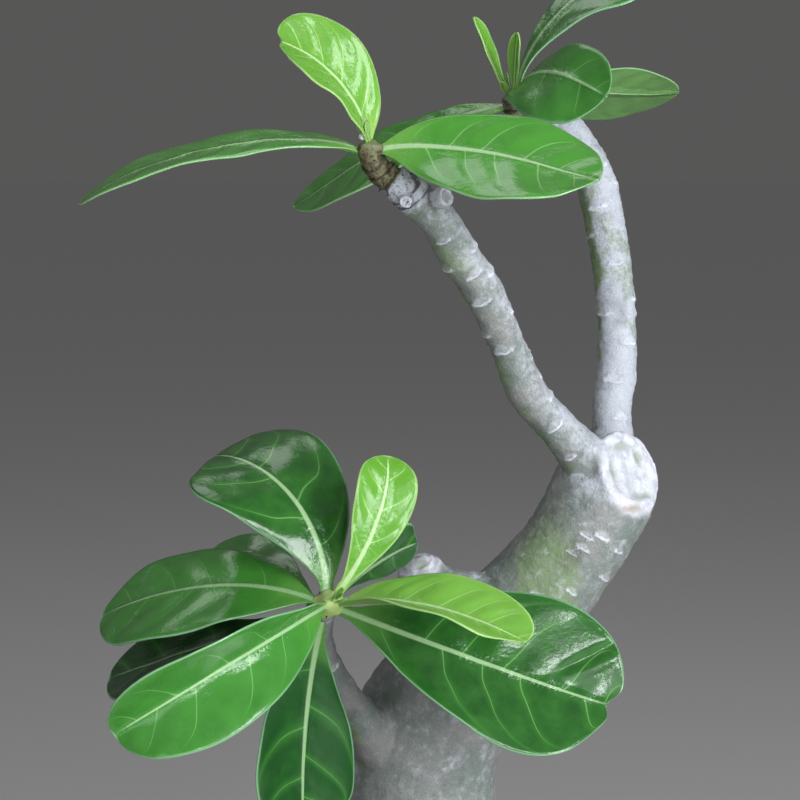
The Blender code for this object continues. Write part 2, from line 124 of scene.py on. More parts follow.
def add_node(tree, kind, inputs=(), output=0, **options):
    """Add a node, feed its inputs with Fields or plain values, and give back one of its outputs."""
    node = tree.nodes.new(kind)
    for option, value in options.items():
        setattr(node, option, value)
    for socket, value in dict(inputs).items():
        if isinstance(value, Field):
            tree.links.new(value.socket, node.inputs[socket])
        else:
            node.inputs[socket].default_value = value
    return Field(node.outputs[output])


def split(field, into="XYZ"):
    """The three parts of a vector, or of a colour."""
    node = add_node(field.tree, f"ShaderNodeSeparate{into}", {0: field}).socket.node
    return [Field(part) for part in node.outputs]


# %% Fades, coats and noise
def fade(field, start, end):
    """0 where the field is at start or before it, 1 at end or past it, and smooth between them."""
    return add_node(field.tree, "ShaderNodeMapRange", {"Value": field, "From Min": start, "From Max": end},
                    interpolation_type="SMOOTHSTEP")


def painted(colour, *coats):
    """Lay coats over a colour. Each is how much of it there is, and its own colour."""
    for coat in coats:
        tree = next(part.tree for part in (*coat, colour) if isinstance(part, Field))
        below, above = (part if isinstance(part, Field) else (*part, 1) for part in (colour, coat[1]))
        colour = add_node(tree, "ShaderNodeMix", {"Factor": coat[0], 6: below, 7: above}, 2, data_type="RGBA")
    return colour


def speckle(tree, size, detail=3.0, roughness=0.55):
    """Noise from 0 to 1 whose lumps are about size millimetres across."""
    place = add_node(tree, "ShaderNodeTexCoord", output="Object")
    return add_node(tree, "ShaderNodeTexNoise", {"Vector": place, "Scale": 1 / (size * MM), "Detail": detail,
                                                 "Roughness": roughness})


# %% A material and its surface
def new_material(name, **settings):
    """A material whose shader has the given plain settings."""
    material = bpy.data.materials.new(name)
    material.use_nodes = True
    shader = material.node_tree.nodes["Principled BSDF"]
    for socket, value in settings.items():
        shader.inputs[socket.replace("_", " ")].default_value = value
    return material


def cover(material, colour, height, depth, strength=1.0):
    """Give a material its colour, and bend the light as if it rose depth millimetres where height is 1."""
    tree = material.node_tree
    bump = add_node(tree, "ShaderNodeBump", {"Height": height, "Distance": depth * MM, "Strength": strength})
    for field, socket in ((colour, "Base Color"), (bump, "Normal")):
        tree.links.new(field.socket, tree.nodes["Principled BSDF"].inputs[socket])


# %% [markdown]
# ## Leaves
# A leaf grows from a shoot: its midrib leaves the shoot at some angle, droops along its length, and carries
# a blade that is widest past its middle. We could drag a flat plane into shape by hand, but one formula
# with a few plain words for each leaf is easier to read, and it gives the same form as the solids have.

# %% The shoots and how their leaves hang
LOW = dict(tip=(-26, -58, 216), grows=(0.35, -0.83, 0.42), bark=3.5, straight=9)
LEFT = dict(tip=(-16, -38, 352), grows=(-0.30, -0.25, 0.90), bark=3.0, straight=5)
RIGHT = dict(tip=(30, 35, 368), grows=(-0.45, -0.10, 0.88), bark=3.0, straight=4)
BUD = dict(down=3, out=3.4, petiole=0.9, fold=36, belly=0.95)
PLAIN_LOOK = (0.5, 0.0, 0.6)   # tone, from deep to bright, water stains and strength of the veins

LEAVES = {   # each one's kind, shoot, look and form
    "leaf_low_right": ("old", LOW, (0.36, 0.0, 0.8), dict(
        down=6, out=4.4, around=-21, rise=15, length=88, width=52, petiole=1.8, droop=2, sweep=3, roll=-8,
        twist=10, fold=15, curl=-10, notch=3.4, skew=3, belly=1.1)),
    "leaf_low_young_right": ("young", LOW, (0.85, 0.0, 0.8), dict(
        around=-8, rise=63, length=63, width=29, petiole=1.3, droop=44, bend=0.75, sweep=-27, roll=-46,
        twist=31, fold=35, curl=-12, skew=4, uneven=-0.15, belly=0.85)),
    "leaf_low_young_up": ("young", LOW, (0.30, 0.0, 0.9), dict(
        around=60, rise=37, length=46, width=20, petiole=1.3, droop=34, bend=1.2, sweep=30, roll=13,
        twist=-13, fold=11, curl=27, belly=1.35)),
    "leaf_low_up_left": ("old", LOW, (0.36, 0.0, 0.9), dict(
        down=6, out=4.3, around=101, rise=18, length=71, width=50, petiole=1.8, droop=83, sweep=50, roll=-9,
        twist=37, fold=3, curl=11, skew=-8)),
    "leaf_low_left": ("old", LOW, (0.75, 0.45, 0.5), dict(
        down=6.5, out=5.3, around=160, rise=-6, length=71, width=43, petiole=1.6, droop=46, bend=0.45,
        sweep=42, roll=23, twist=27, fold=3, uneven=0.1, belly=0.85)),
    "leaf_low_front": ("old", LOW, (0.80, 0.1, 1.0), dict(
        down=3.8, out=4.2, around=217, rise=41, length=82, width=38, droop=74, bend=0.8, sweep=-4, roll=-48,
        twist=32, fold=43, curl=7, belly=0.95)),
    # Painted shade: this leaf's tone is set low, so it is painted darker for the shade of the leaves above
    # it.
    "leaf_low_under_left": ("old", LOW, (0.0, 0.0, 0.2), dict(
        down=9.5, out=6.4, around=196, rise=-32, length=67, width=36, petiole=1.6, droop=18, roll=62,
        twist=-17, fold=14, curl=-9, uneven=0.25)),
    # Painted shade: this leaf's tone is set low, so it is painted darker for the shade of the leaves above
    # it.
    "leaf_low_hanging": ("old", LOW, (0.10, 0.0, 0.35), dict(
        down=9, out=5.6, around=260, rise=-7, length=64, width=37, sweep=17, roll=-10, twist=-13, fold=8,
        curl=9, skew=-2.5, belly=1.2)),
    "leaf_low_back_left": ("old", LOW, (1.0, 0.0, 0.3), dict(
        down=12.5, out=4.8, around=114, rise=-36, length=52, width=30, petiole=1.6, droop=26, sweep=34,
        roll=16, fold=10, uneven=0.3, belly=1.25)),
    "leaf_low_back_right": ("old", LOW, (0.30, 0.0, 0.5), dict(
        down=10, out=4.8, around=46, rise=-2, length=43, width=18, droop=30, sweep=-17, roll=56, twist=-6,
        fold=4, curl=-7, skew=-3, uneven=0.12, belly=1.4)),
    "leaf_left_long": ("full", LEFT, (1.0, 0.1, 0.6), dict(
        down=4, out=4, around=179, rise=45, length=89, width=30, droop=51, bend=0.45, sweep=17, roll=-8,
        twist=15, fold=3, curl=12, skew=1.5, belly=0.95)),
    "leaf_left_young": ("young", LEFT, (0.50, 0.0, 1.0), dict(
        down=3.2, out=3.5, around=164, rise=97, length=44, width=31, petiole=1.5, droop=64, sweep=10,
        roll=-12, twist=-20, fold=32, skew=-3, uneven=0.08, notch=2, belly=0.8)),
    "leaf_left_right": ("full", LEFT, (0.72, 0.1, 1.0), dict(
        down=2.8, out=3.7, around=-9, rise=-1, length=69, width=39, droop=25, bend=0.35, sweep=-29, roll=37,
        twist=-35, fold=8, curl=-12, uneven=-0.13, belly=0.8)),
    "leaf_right_back_left": ("full", RIGHT, (0.45, 0.0, 0.4), dict(
        down=3.4, out=3.5, around=165, rise=17, length=81, width=33, petiole=1.6, droop=33, bend=0.85,
        sweep=13, roll=-31, twist=18, fold=3, curl=-12, uneven=0.24, belly=1.0)),
    "leaf_right_front": ("old", RIGHT, (0.72, 0.0, 0.8), dict(
        down=3.6, out=3.7, around=-65, rise=36, length=58, width=30, droop=86, bend=0.9, sweep=7, roll=6,
        twist=29, fold=3, curl=-12, uneven=-0.19, belly=1.0)),
    "leaf_right_up": ("old", RIGHT, (0.55, 0.0, 0.4), dict(
        out=3.8, around=37, rise=51, length=72, width=28, petiole=1.3, droop=57, bend=0.65, sweep=-33,
        roll=2, twist=42, fold=3, curl=-12, uneven=-0.35, belly=1.5)),
    "leaf_right_back": ("full", RIGHT, (0.50, 0.0, 0.15), dict(
        down=4.2, out=4.4, around=69, rise=1, length=84, width=30, petiole=1.5, droop=35, bend=0.6,
        sweep=-47, roll=-28, twist=4, fold=3, curl=-12, skew=1, uneven=0.15)),
    "leaf_bud_a": ("young", RIGHT, PLAIN_LOOK, dict(
        **BUD, around=160, rise=87, length=28, width=9, roll=-6, droop=-12)),
    "leaf_bud_b": ("young", RIGHT, PLAIN_LOOK, dict(
        **BUD, around=-42, rise=56, length=22, width=7, roll=70, sweep=8)),
}
print("leaves and buds:", len(LEAVES))

# %% The form of a leaf
ROUND_END = 0.09         # share of the length that a leaf's rounded end takes
PETIOLE_REACH = 0.25     # share of the length over which the stalk widens into the blade
FOOT_NARROWER = 0.4      # share by which the stalk is narrower at its very foot
FOOT_REACH = 0.03        # share of the length over which it is
CURL_FROM = 0.7          # share of the length from which the end curls
NOTCH_WIDTH = 0.17       # share of the end's half width that its notch takes
FOLD_ROUND = 2.0         # radius of the blade's bend at the midrib
SPINE_STEPS = 60         # straight steps that a midrib's curve is worked out in


def shoot_frame(grows):
    """Columns: the picture's right, the way up across the shoot, and the way that it grows."""
    axis = Vector(grows).normalized()
    right = (Vector((1, 0, 0)) - axis * axis.x).normalized()
    return np.array([right, axis.cross(right), axis]).T


def bell(distance, width, power=2):
    """1 where the distance is 0, falling to almost nothing at twice the width."""
    return np.exp(-(distance / width) ** power)


def leaf_surface(shoot, t, v, around, rise, length, width, down=3.6, out=3.9, droop=0.0, bend=1.0, curl=0.0,
                 sweep=0.0, roll=0.0, twist=0.0, fold=8.0, belly=1.15, petiole=1.7, notch=0.0, skew=0.0,
                 uneven=0.0):
    """Points of a leaf's upper face for rows t along it, from 0 to 1, and shares v across it, from -1 to 1.

    With them come each point's share x of the length, its distance y from the midrib, the blade's half width
    there, and the way that the leaf sets out.

    The midrib starts down the shoot from its tip and out from its middle, heads around it (0 is the
    picture's right, 90 its top) and rises from the plane across it. Along its length it droops, curls at
    its end, sweeps to the side, and rolls and twists. The blade folds up about the midrib, is widest where
    belly puts it, and may have a notch in its end, a skewed end or uneven halves.
    """
    s = np.linspace(0, 1, SPINE_STEPS + 1)
    heading = np.radians(around + sweep * s)
    curled = np.clip((s - CURL_FROM) / (1 - CURL_FROM), 0, 1) ** 1.5
    pitch = np.radians(rise - droop * s ** bend - curl * curled)
    turn = np.radians(roll + twist * s)
    along = np.stack([np.cos(pitch) * np.cos(heading), np.cos(pitch) * np.sin(heading), np.sin(pitch)], 1)
    level = np.stack([-np.sin(heading), np.cos(heading), np.zeros_like(s)], 1)
    side = level * np.cos(turn)[:, None] + np.cross(along, level) * np.sin(turn)[:, None]
    axes = shoot_frame(shoot["grows"])
    along, side = along @ axes.T, side @ axes.T
    upper = np.cross(along, side)
    start = np.array(shoot["tip"]) - axes[:, 2] * down + along[0] * out
    walked = np.cumsum((along[1:] + along[:-1]) / 2, 0) * length / SPINE_STEPS
    spine = start + np.vstack([np.zeros(3), walked])

    x = np.sin(pi / 2 * t)                     # rows crowd towards the end, where the outline turns quickly
    widest = belly / (belly + 0.5)

    def blade_half(share):
        """Half width of the plain blade, without its stalk."""
        before_end = np.minimum(share, 1 - ROUND_END)
        return (before_end / widest) ** belly * ((1 - share) / (1 - widest)) ** 0.5 * width / 2

    half = np.hypot(np.maximum(blade_half(x), petiole * (1 - x) ** 2), petiole * bell(x, PETIOLE_REACH))
    half *= 1 - FOOT_NARROWER * bell(x, FOOT_REACH)
    y = v * half * (1 + uneven * v * np.clip(4 * x, 0, 1))
    q = np.clip(y / blade_half(1 - ROUND_END), -1, 1)
    x = x + skew / length * (1.5 * q - 0.5 * q ** 3) * x ** 4
    x -= max(0, x.max() - 1) * x ** 4          # no point may lie past the spine's end
    x -= notch / length * bell(q, NOTCH_WIDTH) * np.clip(5 * x - 4, 0, 1) ** 2
    lift = (np.hypot(y, FOLD_ROUND) - FOLD_ROUND) * sin(radians(fold))
    place = [np.interp(x, s, spine[:, k]) + np.interp(x, s, side[:, k]) * y * cos(radians(fold))
             + np.interp(x, s, upper[:, k]) * lift for k in range(3)]
    return np.stack(place, -1), x, y, half, along[0]


# %% [markdown]
# The solids leave out what is finer than a millimetre. Here the grid is ten times finer, so that it can
# carry the raised midrib, the side veins that dip the blade a little, the cushions of tissue between them
# and a margin that rolls under. The same numbers that place the veins are kept on the mesh, so that the
# material paints them exactly where the relief has them.

# %% Veins, and the relief that they give the blade
LEAF_ROWS = 112
LAST_ROW = 0.99      # the rows stop just before the end closes to a point
LEAF_COLUMNS = 48
CROWDING = 1.35      # above 1, the grid's lines crowd towards the midrib
BASE_REACH = 2.2     # the stalk runs this far back into the bark that carries it
MIDRIB = dict(old=(0.85, 0.24), full=(0.80, 0.24), young=(0.80, 0.2))  # half width at the base and the end
VEIN_SPACING = dict(old=15.0, full=12.0, young=9.0)
VEIN_LEAN = dict(old=0.42, full=0.5, young=0.85)    # how far a side vein slants forward for each step outward
VEIN_HALF_WIDTH = 0.27
RELIEF = dict(midrib=0.20, groove=0.12, cushion=0.42, margin=0.50, wave=0.50, lumps=0.22)   # heights


def lumps(place, size, seed=0.0):
    """Smooth noise from -1 to 1 with lumps of about the given size."""
    return np.array([noise.noise(Vector(point) + Vector((seed, seed, seed))) for point in place / size])


def leaf_lumps(x, y, seed, size):
    """Noise over a leaf, which its seed makes its own, with lumps of a size along it and a size across."""
    return lumps(np.stack([x, y, np.full_like(x, seed)], 1), (*size, 1))


def rib_width(kind, share, width):
    """Half width of the midrib at a share of a leaf's length."""
    base, end = MIDRIB[kind]
    return (base * np.maximum(1 - share, 0) ** 0.8 + end) * min(1, width / 16)


def vein_pattern(kind, x, y, half, v, seed):
    """For each point, which vein it is nearest to: whole numbers lie on veins, halves between them."""
    a = np.abs(v)
    forward = VEIN_LEAN[kind] * np.abs(y) + half * (0.35 * a ** 4 + 0.35 * a ** 12)
    count = (x - forward) / VEIN_SPACING[kind]
    side = np.where(v > 0, 0.43, 0.0)
    wander = 0.12 * leaf_lumps(x, y, seed, (17, 9))
    return count + side + 0.13 * np.sin(count * 2.1 + seed + 2 * side) + wander


def blade_relief(share, x, y, room, v, rib, count, seed):
    """How far the upper face stands above the plain blade, which room scales down where it is narrow."""
    a = np.abs(v)
    before_end = 1 - np.clip((share - 0.84) / 0.16, 0, 1) ** 2
    cushion = -0.5 * np.cos(2 * pi * count) * np.clip((np.abs(y) - rib) / 3, 0, 1) * (1 - a ** 3)
    wave = np.sin(2 * pi * (share * 2.6 + 0.31 * seed + np.where(v > 0, 0.37, 0))) * a ** 2.5
    relief = RELIEF["cushion"] * cushion - RELIEF["groove"] * bell(np.abs(y) - 2.4 * rib, 1.3 * rib)
    relief += RELIEF["wave"] * wave * np.clip(share * 4, 0, 1) * before_end - RELIEF["margin"] * a ** 14
    relief += RELIEF["lumps"] * leaf_lumps(x, y, seed + 5, (8, 8)) * before_end
    return relief * room + RELIEF["midrib"] * bell(y, rib) * (1.1 - share)


# %% [markdown]
# A grid becomes a leaf in three moves: lay its vertices on the formula, raise them by the relief, and give
# it thickness downwards with a Solidify modifier. A vertex group makes the modifier thick at the midrib,
# which stands out below like the keel of a boat, and thin at the margin.

# %% Build one leaf
KEEL = 2.2              # thickness at the midrib's base
BLADE = 0.72            # thickness of the blade
FULL_HALF = 12.0        # half width from which a blade has its whole relief
SMALL_LENGTH = 30.0     # a leaf in a bud is no longer than this
SMALL_WIDTH = 12.0      # and no wider, and it is thinner and on a coarser grid
CREASES = {"low_right": ((70.0, 7.5), (83.5, 20.0))}   # a dent in the blade, from one x and y to another


def dented_along(x, y, start, end):
    """A groove along a line, with a raised fold behind it, in millimetres."""
    along = np.array(end) - start
    length = np.hypot(*along)
    away = np.stack([x, y], -1) - start
    share = np.clip(away @ along / length ** 2, -0.2, 1.2)
    off = (away[:, 1] * along[0] - away[:, 0] * along[1]) / length
    gap = np.hypot(*(away - share[:, None] * along).T)
    strength = 1 - np.abs(share - 0.5) ** 2 * 1.6
    return strength * (0.9 * bell(gap - 3.5, 2.2) * (off < 0) - 1.2 * bell(gap, 1.5))


def build_leaf(name, kind, shoot, form, seed, look, paints, nodes=()):
    """A leaf that keeps its veins' numbers on the mesh, and its look: tone, stains, strength of veins."""
    rows = LEAF_ROWS if form["length"] > SMALL_LENGTH else LEAF_ROWS // 2
    columns = LEAF_COLUMNS if form["width"] > SMALL_WIDTH else LEAF_COLUMNS // 3
    bm = bmesh.new()
    bmesh.ops.create_grid(bm, x_segments=rows, y_segments=columns, size=1)
    flat = np.array([vert.co for vert in bm.verts])
    t = (flat[:, 0] + 1) / 2 * LAST_ROW
    v = np.sign(flat[:, 1]) * np.abs(flat[:, 1]) ** CROWDING
    points, share, y, half, along = leaf_surface(shoot, t, v, **form)
    points = points - along * BASE_REACH * np.clip(1 - share / 0.05, 0, 1)[:, None]
    x = share * form["length"]
    rib = rib_width(kind, share, form["width"])
    room = np.clip(half / FULL_HALF, 0, 1)
    count = vein_pattern(kind, x, y, half, v, seed)
    relief = blade_relief(share, x, y, room, v, rib, count, seed)
    if name in CREASES:
        relief += dented_along(x, y, *CREASES[name])
    for vert, point in zip(bm.verts, points):
        vert.co = point
    raise_surface(bm, relief)
    leaf = add_piece(name, bm, nodes)
    for paint in paints:
        leaf.data.materials.append(paint)

    to_margin = np.minimum(half * (1 - np.abs(v)), (1 - share) * form["length"])
    write_attribute(leaf, "rib", y / rib, count, to_margin)
    write_attribute(leaf, "spot", share, v, room)
    write_attribute(leaf, "look", *(np.full_like(v, number) for number in look))
    thick = KEEL if form["width"] > SMALL_WIDTH else 0.14 * form["width"]
    thin = min(BLADE, 0.65 * thick) / thick
    weights = thin + (1 - thin) * bell(y, 1.3 * rib) * np.maximum(1 - share, 0) ** 0.7
    weights *= 1 - 0.45 * np.abs(v) ** 10
    keel = leaf.vertex_groups.new(name="keel")
    for index, weight in enumerate(weights):
        keel.add([index], float(weight), "REPLACE")
    solid = leaf.modifiers.new("thickness", "SOLIDIFY")
    solid.thickness = thick * MM
    solid.offset = -1
    solid.vertex_group = "keel"
    solid.material_offset = 1
    solid.material_offset_rim = 0


# %% [markdown]
# A leaf's colour comes in layers. The blade is a deep green that varies a little from cushion to cushion
# and is yellower towards the base. Over it lie the side veins, the broad pale midrib, and a pale, almost
# glassy margin. The upper face is waxy, so its roughness is low, but the leaf that hangs in the others'
# shade shines less. Its fine wrinkles are only bump, because they are thinner than a hair, and they break
# a highlight into small bright flakes.

# %% The greens
GREENS = {
    "old": dict(deep=(0.008, 0.058, 0.010), bright=(0.055, 0.250, 0.034), base=(0.11, 0.31, 0.055),
                vein=(0.17, 0.40, 0.12), rib=(0.36, 0.56, 0.29), edge=(0.22, 0.45, 0.24),
                below=(0.07, 0.17, 0.055)),
    "full": dict(deep=(0.025, 0.170, 0.016), bright=(0.080, 0.320, 0.040), base=(0.17, 0.40, 0.07),
                 vein=(0.25, 0.50, 0.18), rib=(0.42, 0.62, 0.34), edge=(0.30, 0.54, 0.27),
                 below=(0.13, 0.27, 0.08)),
    "young": dict(deep=(0.105, 0.320, 0.028), bright=(0.185, 0.430, 0.065), base=(0.33, 0.52, 0.14),
                  vein=(0.36, 0.64, 0.22), rib=(0.50, 0.70, 0.36), edge=(0.40, 0.62, 0.24),
                  below=(0.20, 0.35, 0.09)),
}


# %% Paint for the leaves
WATER_LINE = 0.56      # where the noise of the water drops has their rim


def kept_numbers(tree, name):
    """The three parts of an attribute that was kept on the mesh."""
    return split(add_node(tree, "ShaderNodeAttribute", output="Vector", attribute_name=name))


def nudge(noise_field, weight):
    """A noise moved to lie about 0 and weighted, to shift another number by."""
    return (noise_field - 0.5) * weight


def leaf_paint(kind, upper, dull=False):
    """Paint for one face of a kind of leaf, glossy on top unless it is dull."""
    greens = GREENS[kind]
    material = new_material(
        f"{'dull' if dull else kind}_leaf_{'upper' if upper else 'lower'}",
        Roughness=0.19 if upper and not dull else 0.5, IOR=1.45,
        Specular_IOR_Level=0.15 if dull else 0.45 if kind == "young" else 0.75,
        Subsurface_Weight=0.15 if kind == "young" else 0.05,
        Subsurface_Radius=(0.4, 1.0, 0.15), Subsurface_Scale=0.0015)
    tree = material.node_tree
    ribs, count, margin = kept_numbers(tree, "rib")
    share, across, room = kept_numbers(tree, "spot")
    tone, stain, bold = kept_numbers(tree, "look")
    from_rib, out = abs(ribs), abs(across)

    # The blade: deep to bright green, brighter beside the veins and towards the base
    patches = nudge(speckle(tree, 7.0), 0.6)
    near_vein = abs(count.fraction() - 0.5)          # 0.5 on a vein, 0 halfway to the next
    blade = painted(greens["deep"],
                    (fade(patches + tone, 0.0, 1.0), greens["bright"]),
                    (fade(near_vein, 0.30, 0.5) * 0.25, greens["bright"]),
                    ((1 - fade(share, 0.02, 0.24)) * 0.75, greens["base"]))

    # Side veins, thinner outward, that fade before the margin and start a little way up the leaf
    thin = (1 - out * 0.6) * (VEIN_HALF_WIDTH / VEIN_SPACING[kind])
    vein = (1 - fade(0.5 - near_vein, thin * 0.35, thin * 1.6)) * (1 - fade(out, 0.6, 0.99))
    vein = vein * fade(share, 0.10, 0.22) * fade(room, 0.2, 0.6) * bold * (0.8 if upper else 0.5)

    # Margin and midrib
    edge = (1 - fade(margin, 0.2, 0.8)) * fade(share, 0.05, 0.2) * 0.8
    rib = (1 - fade(from_rib, 0.55, 1.25)) * (1 - fade(share, 0.9, 1.0)) * (0.45 + bold * 0.47)
    blade = painted(blade, (vein, greens["vein"]), (edge, greens["edge"]))
    if not upper:
        blade = painted(blade, (0.75, greens["below"]))

    # Dried water leaves pale rings, with a thin film inside them
    drops = speckle(tree, 5.5, 0.5)
    ring = 1 - fade(abs(drops - WATER_LINE), 0.004, 0.022)
    film = fade(drops, WATER_LINE, 0.60) * 0.25
    dried = ring.or_more(film) * (stain * fade(share, 0.50, 0.85)) * 0.4
    blade = painted(blade, (rib, greens["rib"]), (dried, (0.28, 0.47, 0.33)))

    # Fine wrinkles, deepest beside the midrib, where they break up the light
    wrinkles = speckle(tree, 1.3, 3.0) + speckle(tree, 5.0, 2.0) * 1.6
    near_rib = 0.7 + (1 - fade(from_rib, 1.0, 6.0)) * 1.9
    cover(material, blade, wrinkles * near_rib, 0.16 if upper else 0.25, 0.7)
    return material


PAINTS = {kind: [leaf_paint(kind, upper) for upper in (True, False)] for kind in GREENS}
PAINTS["dull"] = [leaf_paint("old", True, dull=True), PAINTS["old"][1]]
print("paints for the leaves:", *PAINTS)

# %% Build every leaf
SHADED_LEAF = "leaf_low_hanging"
for number, (node, (kind, shoot, look, form)) in enumerate(LEAVES.items()):
    paints = PAINTS["dull" if node == SHADED_LEAF else kind]
    build_leaf(node.removeprefix("leaf_"), kind, shoot, form, 1.7 * number, look, paints, [node])

# %% [markdown]
# ## The wood
# The trunk, its three branches and the healed wounds grew as one body. Separate tubes would show a seam at
# every fork, so a tube runs along each route, a voxel remesh melts them into one skin, and the forks are
# smoothed until they look grown. Each route is a row of points, as x, y, z and the radius there.

# %% Where the wood runs
SOIL_TOP = 92.0
ROUTES = {
    "trunk": ((0, 0, 44, 14), (0, 0, 50, 24), (0, 0, 62, 31), (0, 0, 78, 35), (0, 0, 92, 36),
              (0, 0, 104, 34.5), (-1, 0, 120, 29.5), (-1, 0, 138, 26.2), (1, 0, 156, 24.8), (8, 0, 172, 24),
              (20, 1, 187.5, 21.8), (32, 2, 199.5, 18.6), (43, 3, 212.5, 16.9), (52.5, 4, 226, 16.6),
              (60, 5, 240, 17)),
    "shoulder": ((8, 0, 182, 20), (4.5, -1, 201, 13.5), (1, -2, 213, 8)),
    "ridge": ((2, -2, 209.5, 7), (12, -2, 209, 6.5), (22, -2, 205.5, 8)),
    "left": ((57, 2, 247, 9), (50, -3, 255, 7.3), (43, -6, 262.5, 6.3), (34, -10, 273.5, 6.3),
             (27, -15, 290, 5.5), (19.5, -20, 306, 6.2), (12, -25, 317.5, 6.4), (6, -29, 327.5, 6.1),
             (-2, -32, 335.5, 5.6)),
    "right": ((61, 16, 244, 9.5), (64, 23, 256, 7.2), (64, 25, 266, 6.6), (65.5, 27, 276, 6.7),
              (65.5, 29, 292, 6.6), (63.5, 30, 314, 6.6), (60, 33, 334, 6.7), (56, 34.5, 346, 6.4),
              (49, 36.5, 356.5, 6.0), (41, 36.5, 359, 5.0)),
    "low": ((-3, -5, 150, 15), (-14, -15, 163, 9), (-22, -26, 176, 6), (-29, -35, 190, 5.2),
            (-31.5, -41.5, 201.5, 4.4)),
}
SHOOTS = {"left": LEFT, "right": RIGHT, "low": LOW}
HEAD_CUT = dict(at=(67.5, -2, 247), facing=(0.67, -0.64, 0.38), radius=14.0)
SHOULDER_CUT = dict(at=(0.5, -2.5, 214.5), facing=(-0.25, -0.35, 0.9), radius=6.9)
HEAD_END = 0.6       # the head ends this far below its cut face, inside the callus
STUBS = (((3.6, -33.6, 334.6), (0.68, -0.68, 0.22), 3.0, 6.0),   # foot, facing, radius and height
         ((-4.5, -37, 334.5), (-0.1, -0.9, -0.1), 1.8, 2.4))


def smooth_route(route, spacing=2.0):
    """Points and radii about a spacing apart on a Catmull-Rom curve through the route."""
    knots = np.array(route, float)
    knots = np.vstack([2 * knots[0] - knots[1], knots, 2 * knots[-1] - knots[-2]])
    found = []
    for a, b, c, d in zip(knots, knots[1:], knots[2:], knots[3:]):
        count = max(1, round(np.linalg.norm((c - b)[:3]) / spacing))
        for u in np.arange(count) / count:
            found.append(0.5 * (2 * b + (c - a) * u + (2 * a - 5 * b + 4 * c - d) * u ** 2
                                + (3 * b - a - 3 * c + d) * u ** 3))
    found.append(knots[-2])
    return np.array(found)


def shoot_end(shoot):
    """The last two points of a branch's route, on the line that its shoot grows along."""
    tip, grows, bark = Vector(shoot["tip"]), Vector(shoot["grows"]).normalized(), shoot["bark"]
    start = tip - grows * (bark + shoot["straight"])
    return (*start, bark * 1.2), (*(tip - grows * bark), bark)


def steps_along(walk):
    """The length of each step of a smooth route."""
    return np.linalg.norm(np.diff(walk[:, :3], axis=0), axis=1)


WALKS = {name: smooth_route((*route, *shoot_end(SHOOTS[name])) if name in SHOOTS else route)
         for name, route in ROUTES.items()}
print("lengths in mm:", {name: round(steps_along(walk).sum()) for name, walk in WALKS.items()})

# %% Tubes
def turned_to(facing):
    """The turn that takes +Z along facing."""
    return Vector((0, 0, 1)).rotation_difference(Vector(facing)).to_matrix().to_4x4()


def with_dome(points, steps=5):
    """Close the far end of a route with a round cap of the same radius."""
    end, radius = points[-1, :3], points[-1, 3]
    ahead = end - points[-2, :3]
    ahead = ahead / np.linalg.norm(ahead)
    angles = np.radians(82) * np.arange(1, steps + 1) / steps      # stops short of the pole
    cap = [[*(end + ahead * radius * sin(angle)), radius * cos(angle)] for angle in angles]
    return np.vstack([points, cap])


def tube(points, sides=32):
    """A closed round tube that grows ring by ring out of a disc."""
    rings = []
    for point, ahead in zip(points, np.gradient(points[:, :3], axis=0)):
        rings.append(Matrix.Translation(point[:3]) @ turned_to(ahead) @ Matrix.Scale(point[3], 4))
    bm = bmesh.new()
    disc = bmesh.ops.create_circle(bm, cap_ends=True, segments=sides, radius=1, matrix=rings[0])["verts"]
    end = disc[0].link_faces[0]
    for before, ring in zip(rings, rings[1:]):
        grown = bmesh.ops.extrude_face_region(bm, geom=[end])["geom"]
        end = next(part for part in grown if isinstance(part, bmesh.types.BMFace))
        bmesh.ops.transform(bm, matrix=ring @ before.inverted(), verts=end.verts)
    bmesh.ops.recalc_face_normals(bm, faces=bm.faces)
    return bm


# %% Turned wounds and stubs
def turned(profile, steps):
    """A closed shape spun about Z from its outline, given as radius and height from axis to axis."""
    bm = bmesh.new()
    verts = [bm.verts.new((r, 0, z)) for r, z in profile]
    edges = [bm.edges.new(pair) for pair in zip(verts, verts[1:])]
    bmesh.ops.spin(bm, geom=verts + edges, cent=(0, 0, 0), axis=(0, 0, 1), angle=2 * pi, steps=steps,
                   use_merge=True)
    bmesh.ops.remove_doubles(bm, verts=bm.verts, dist=1e-4)
    bmesh.ops.recalc_face_normals(bm, faces=bm.faces)
    return bm


def placed(bm, at, facing):
    """Stand a turned shape at a point, with its +Z along facing."""
    bmesh.ops.transform(bm, matrix=Matrix.Translation(at) @ turned_to(facing), verts=bm.verts)
    return bm


def callused_cut(at, facing, radius):
    """A healed pruning cut: a flat face inside a rolled rim of new bark."""
    rim = 3.9      # breadth of the roll of new bark
    profile = [(0, 0), (radius - rim, 0), (radius - rim * 0.7, 0.5), (radius - rim / 3, 0.8),
               (radius - 0.2, 0.1), (radius, -1.3), (radius - rim / 2, -5), (0, -5)]
    return placed(turned(profile, 40), at, facing)


def pruned_stub(at, facing, radius, height):
    """The short stub of a twig that was cut off."""
    profile = [(0, height - 0.3), (radius * 0.55, height - 0.4), (radius * 0.8, height),
               (radius, height - 0.7), (radius * 0.9, height / 2), (radius * 1.1, 0),
               (radius, -2.5), (0, -2.5)]
    return placed(turned(profile, 24), at, facing)


# %% Melt the shapes into one skin
VOXEL = 0.88      # size of the remesh's cells


def joined(shapes):
    """One bmesh that holds all the shapes."""
    whole = bmesh.new()
    for shape in shapes:
        mesh = bpy.data.meshes.new("shape")
        shape.to_mesh(mesh)
        shape.free()
        whole.from_mesh(mesh)
        bpy.data.meshes.remove(mesh)
    return whole


def evaluated(bm, add_modifiers):
    """What the modifiers make of the bmesh, as a new bmesh."""
    raw = to_object("raw", bm)
    add_modifiers(raw)
    bpy.context.view_layer.update()
    result = bmesh.new()
    result.from_object(raw, bpy.context.evaluated_depsgraph_get())
    bpy.data.meshes.remove(raw.data)     # takes its object with it
    return result


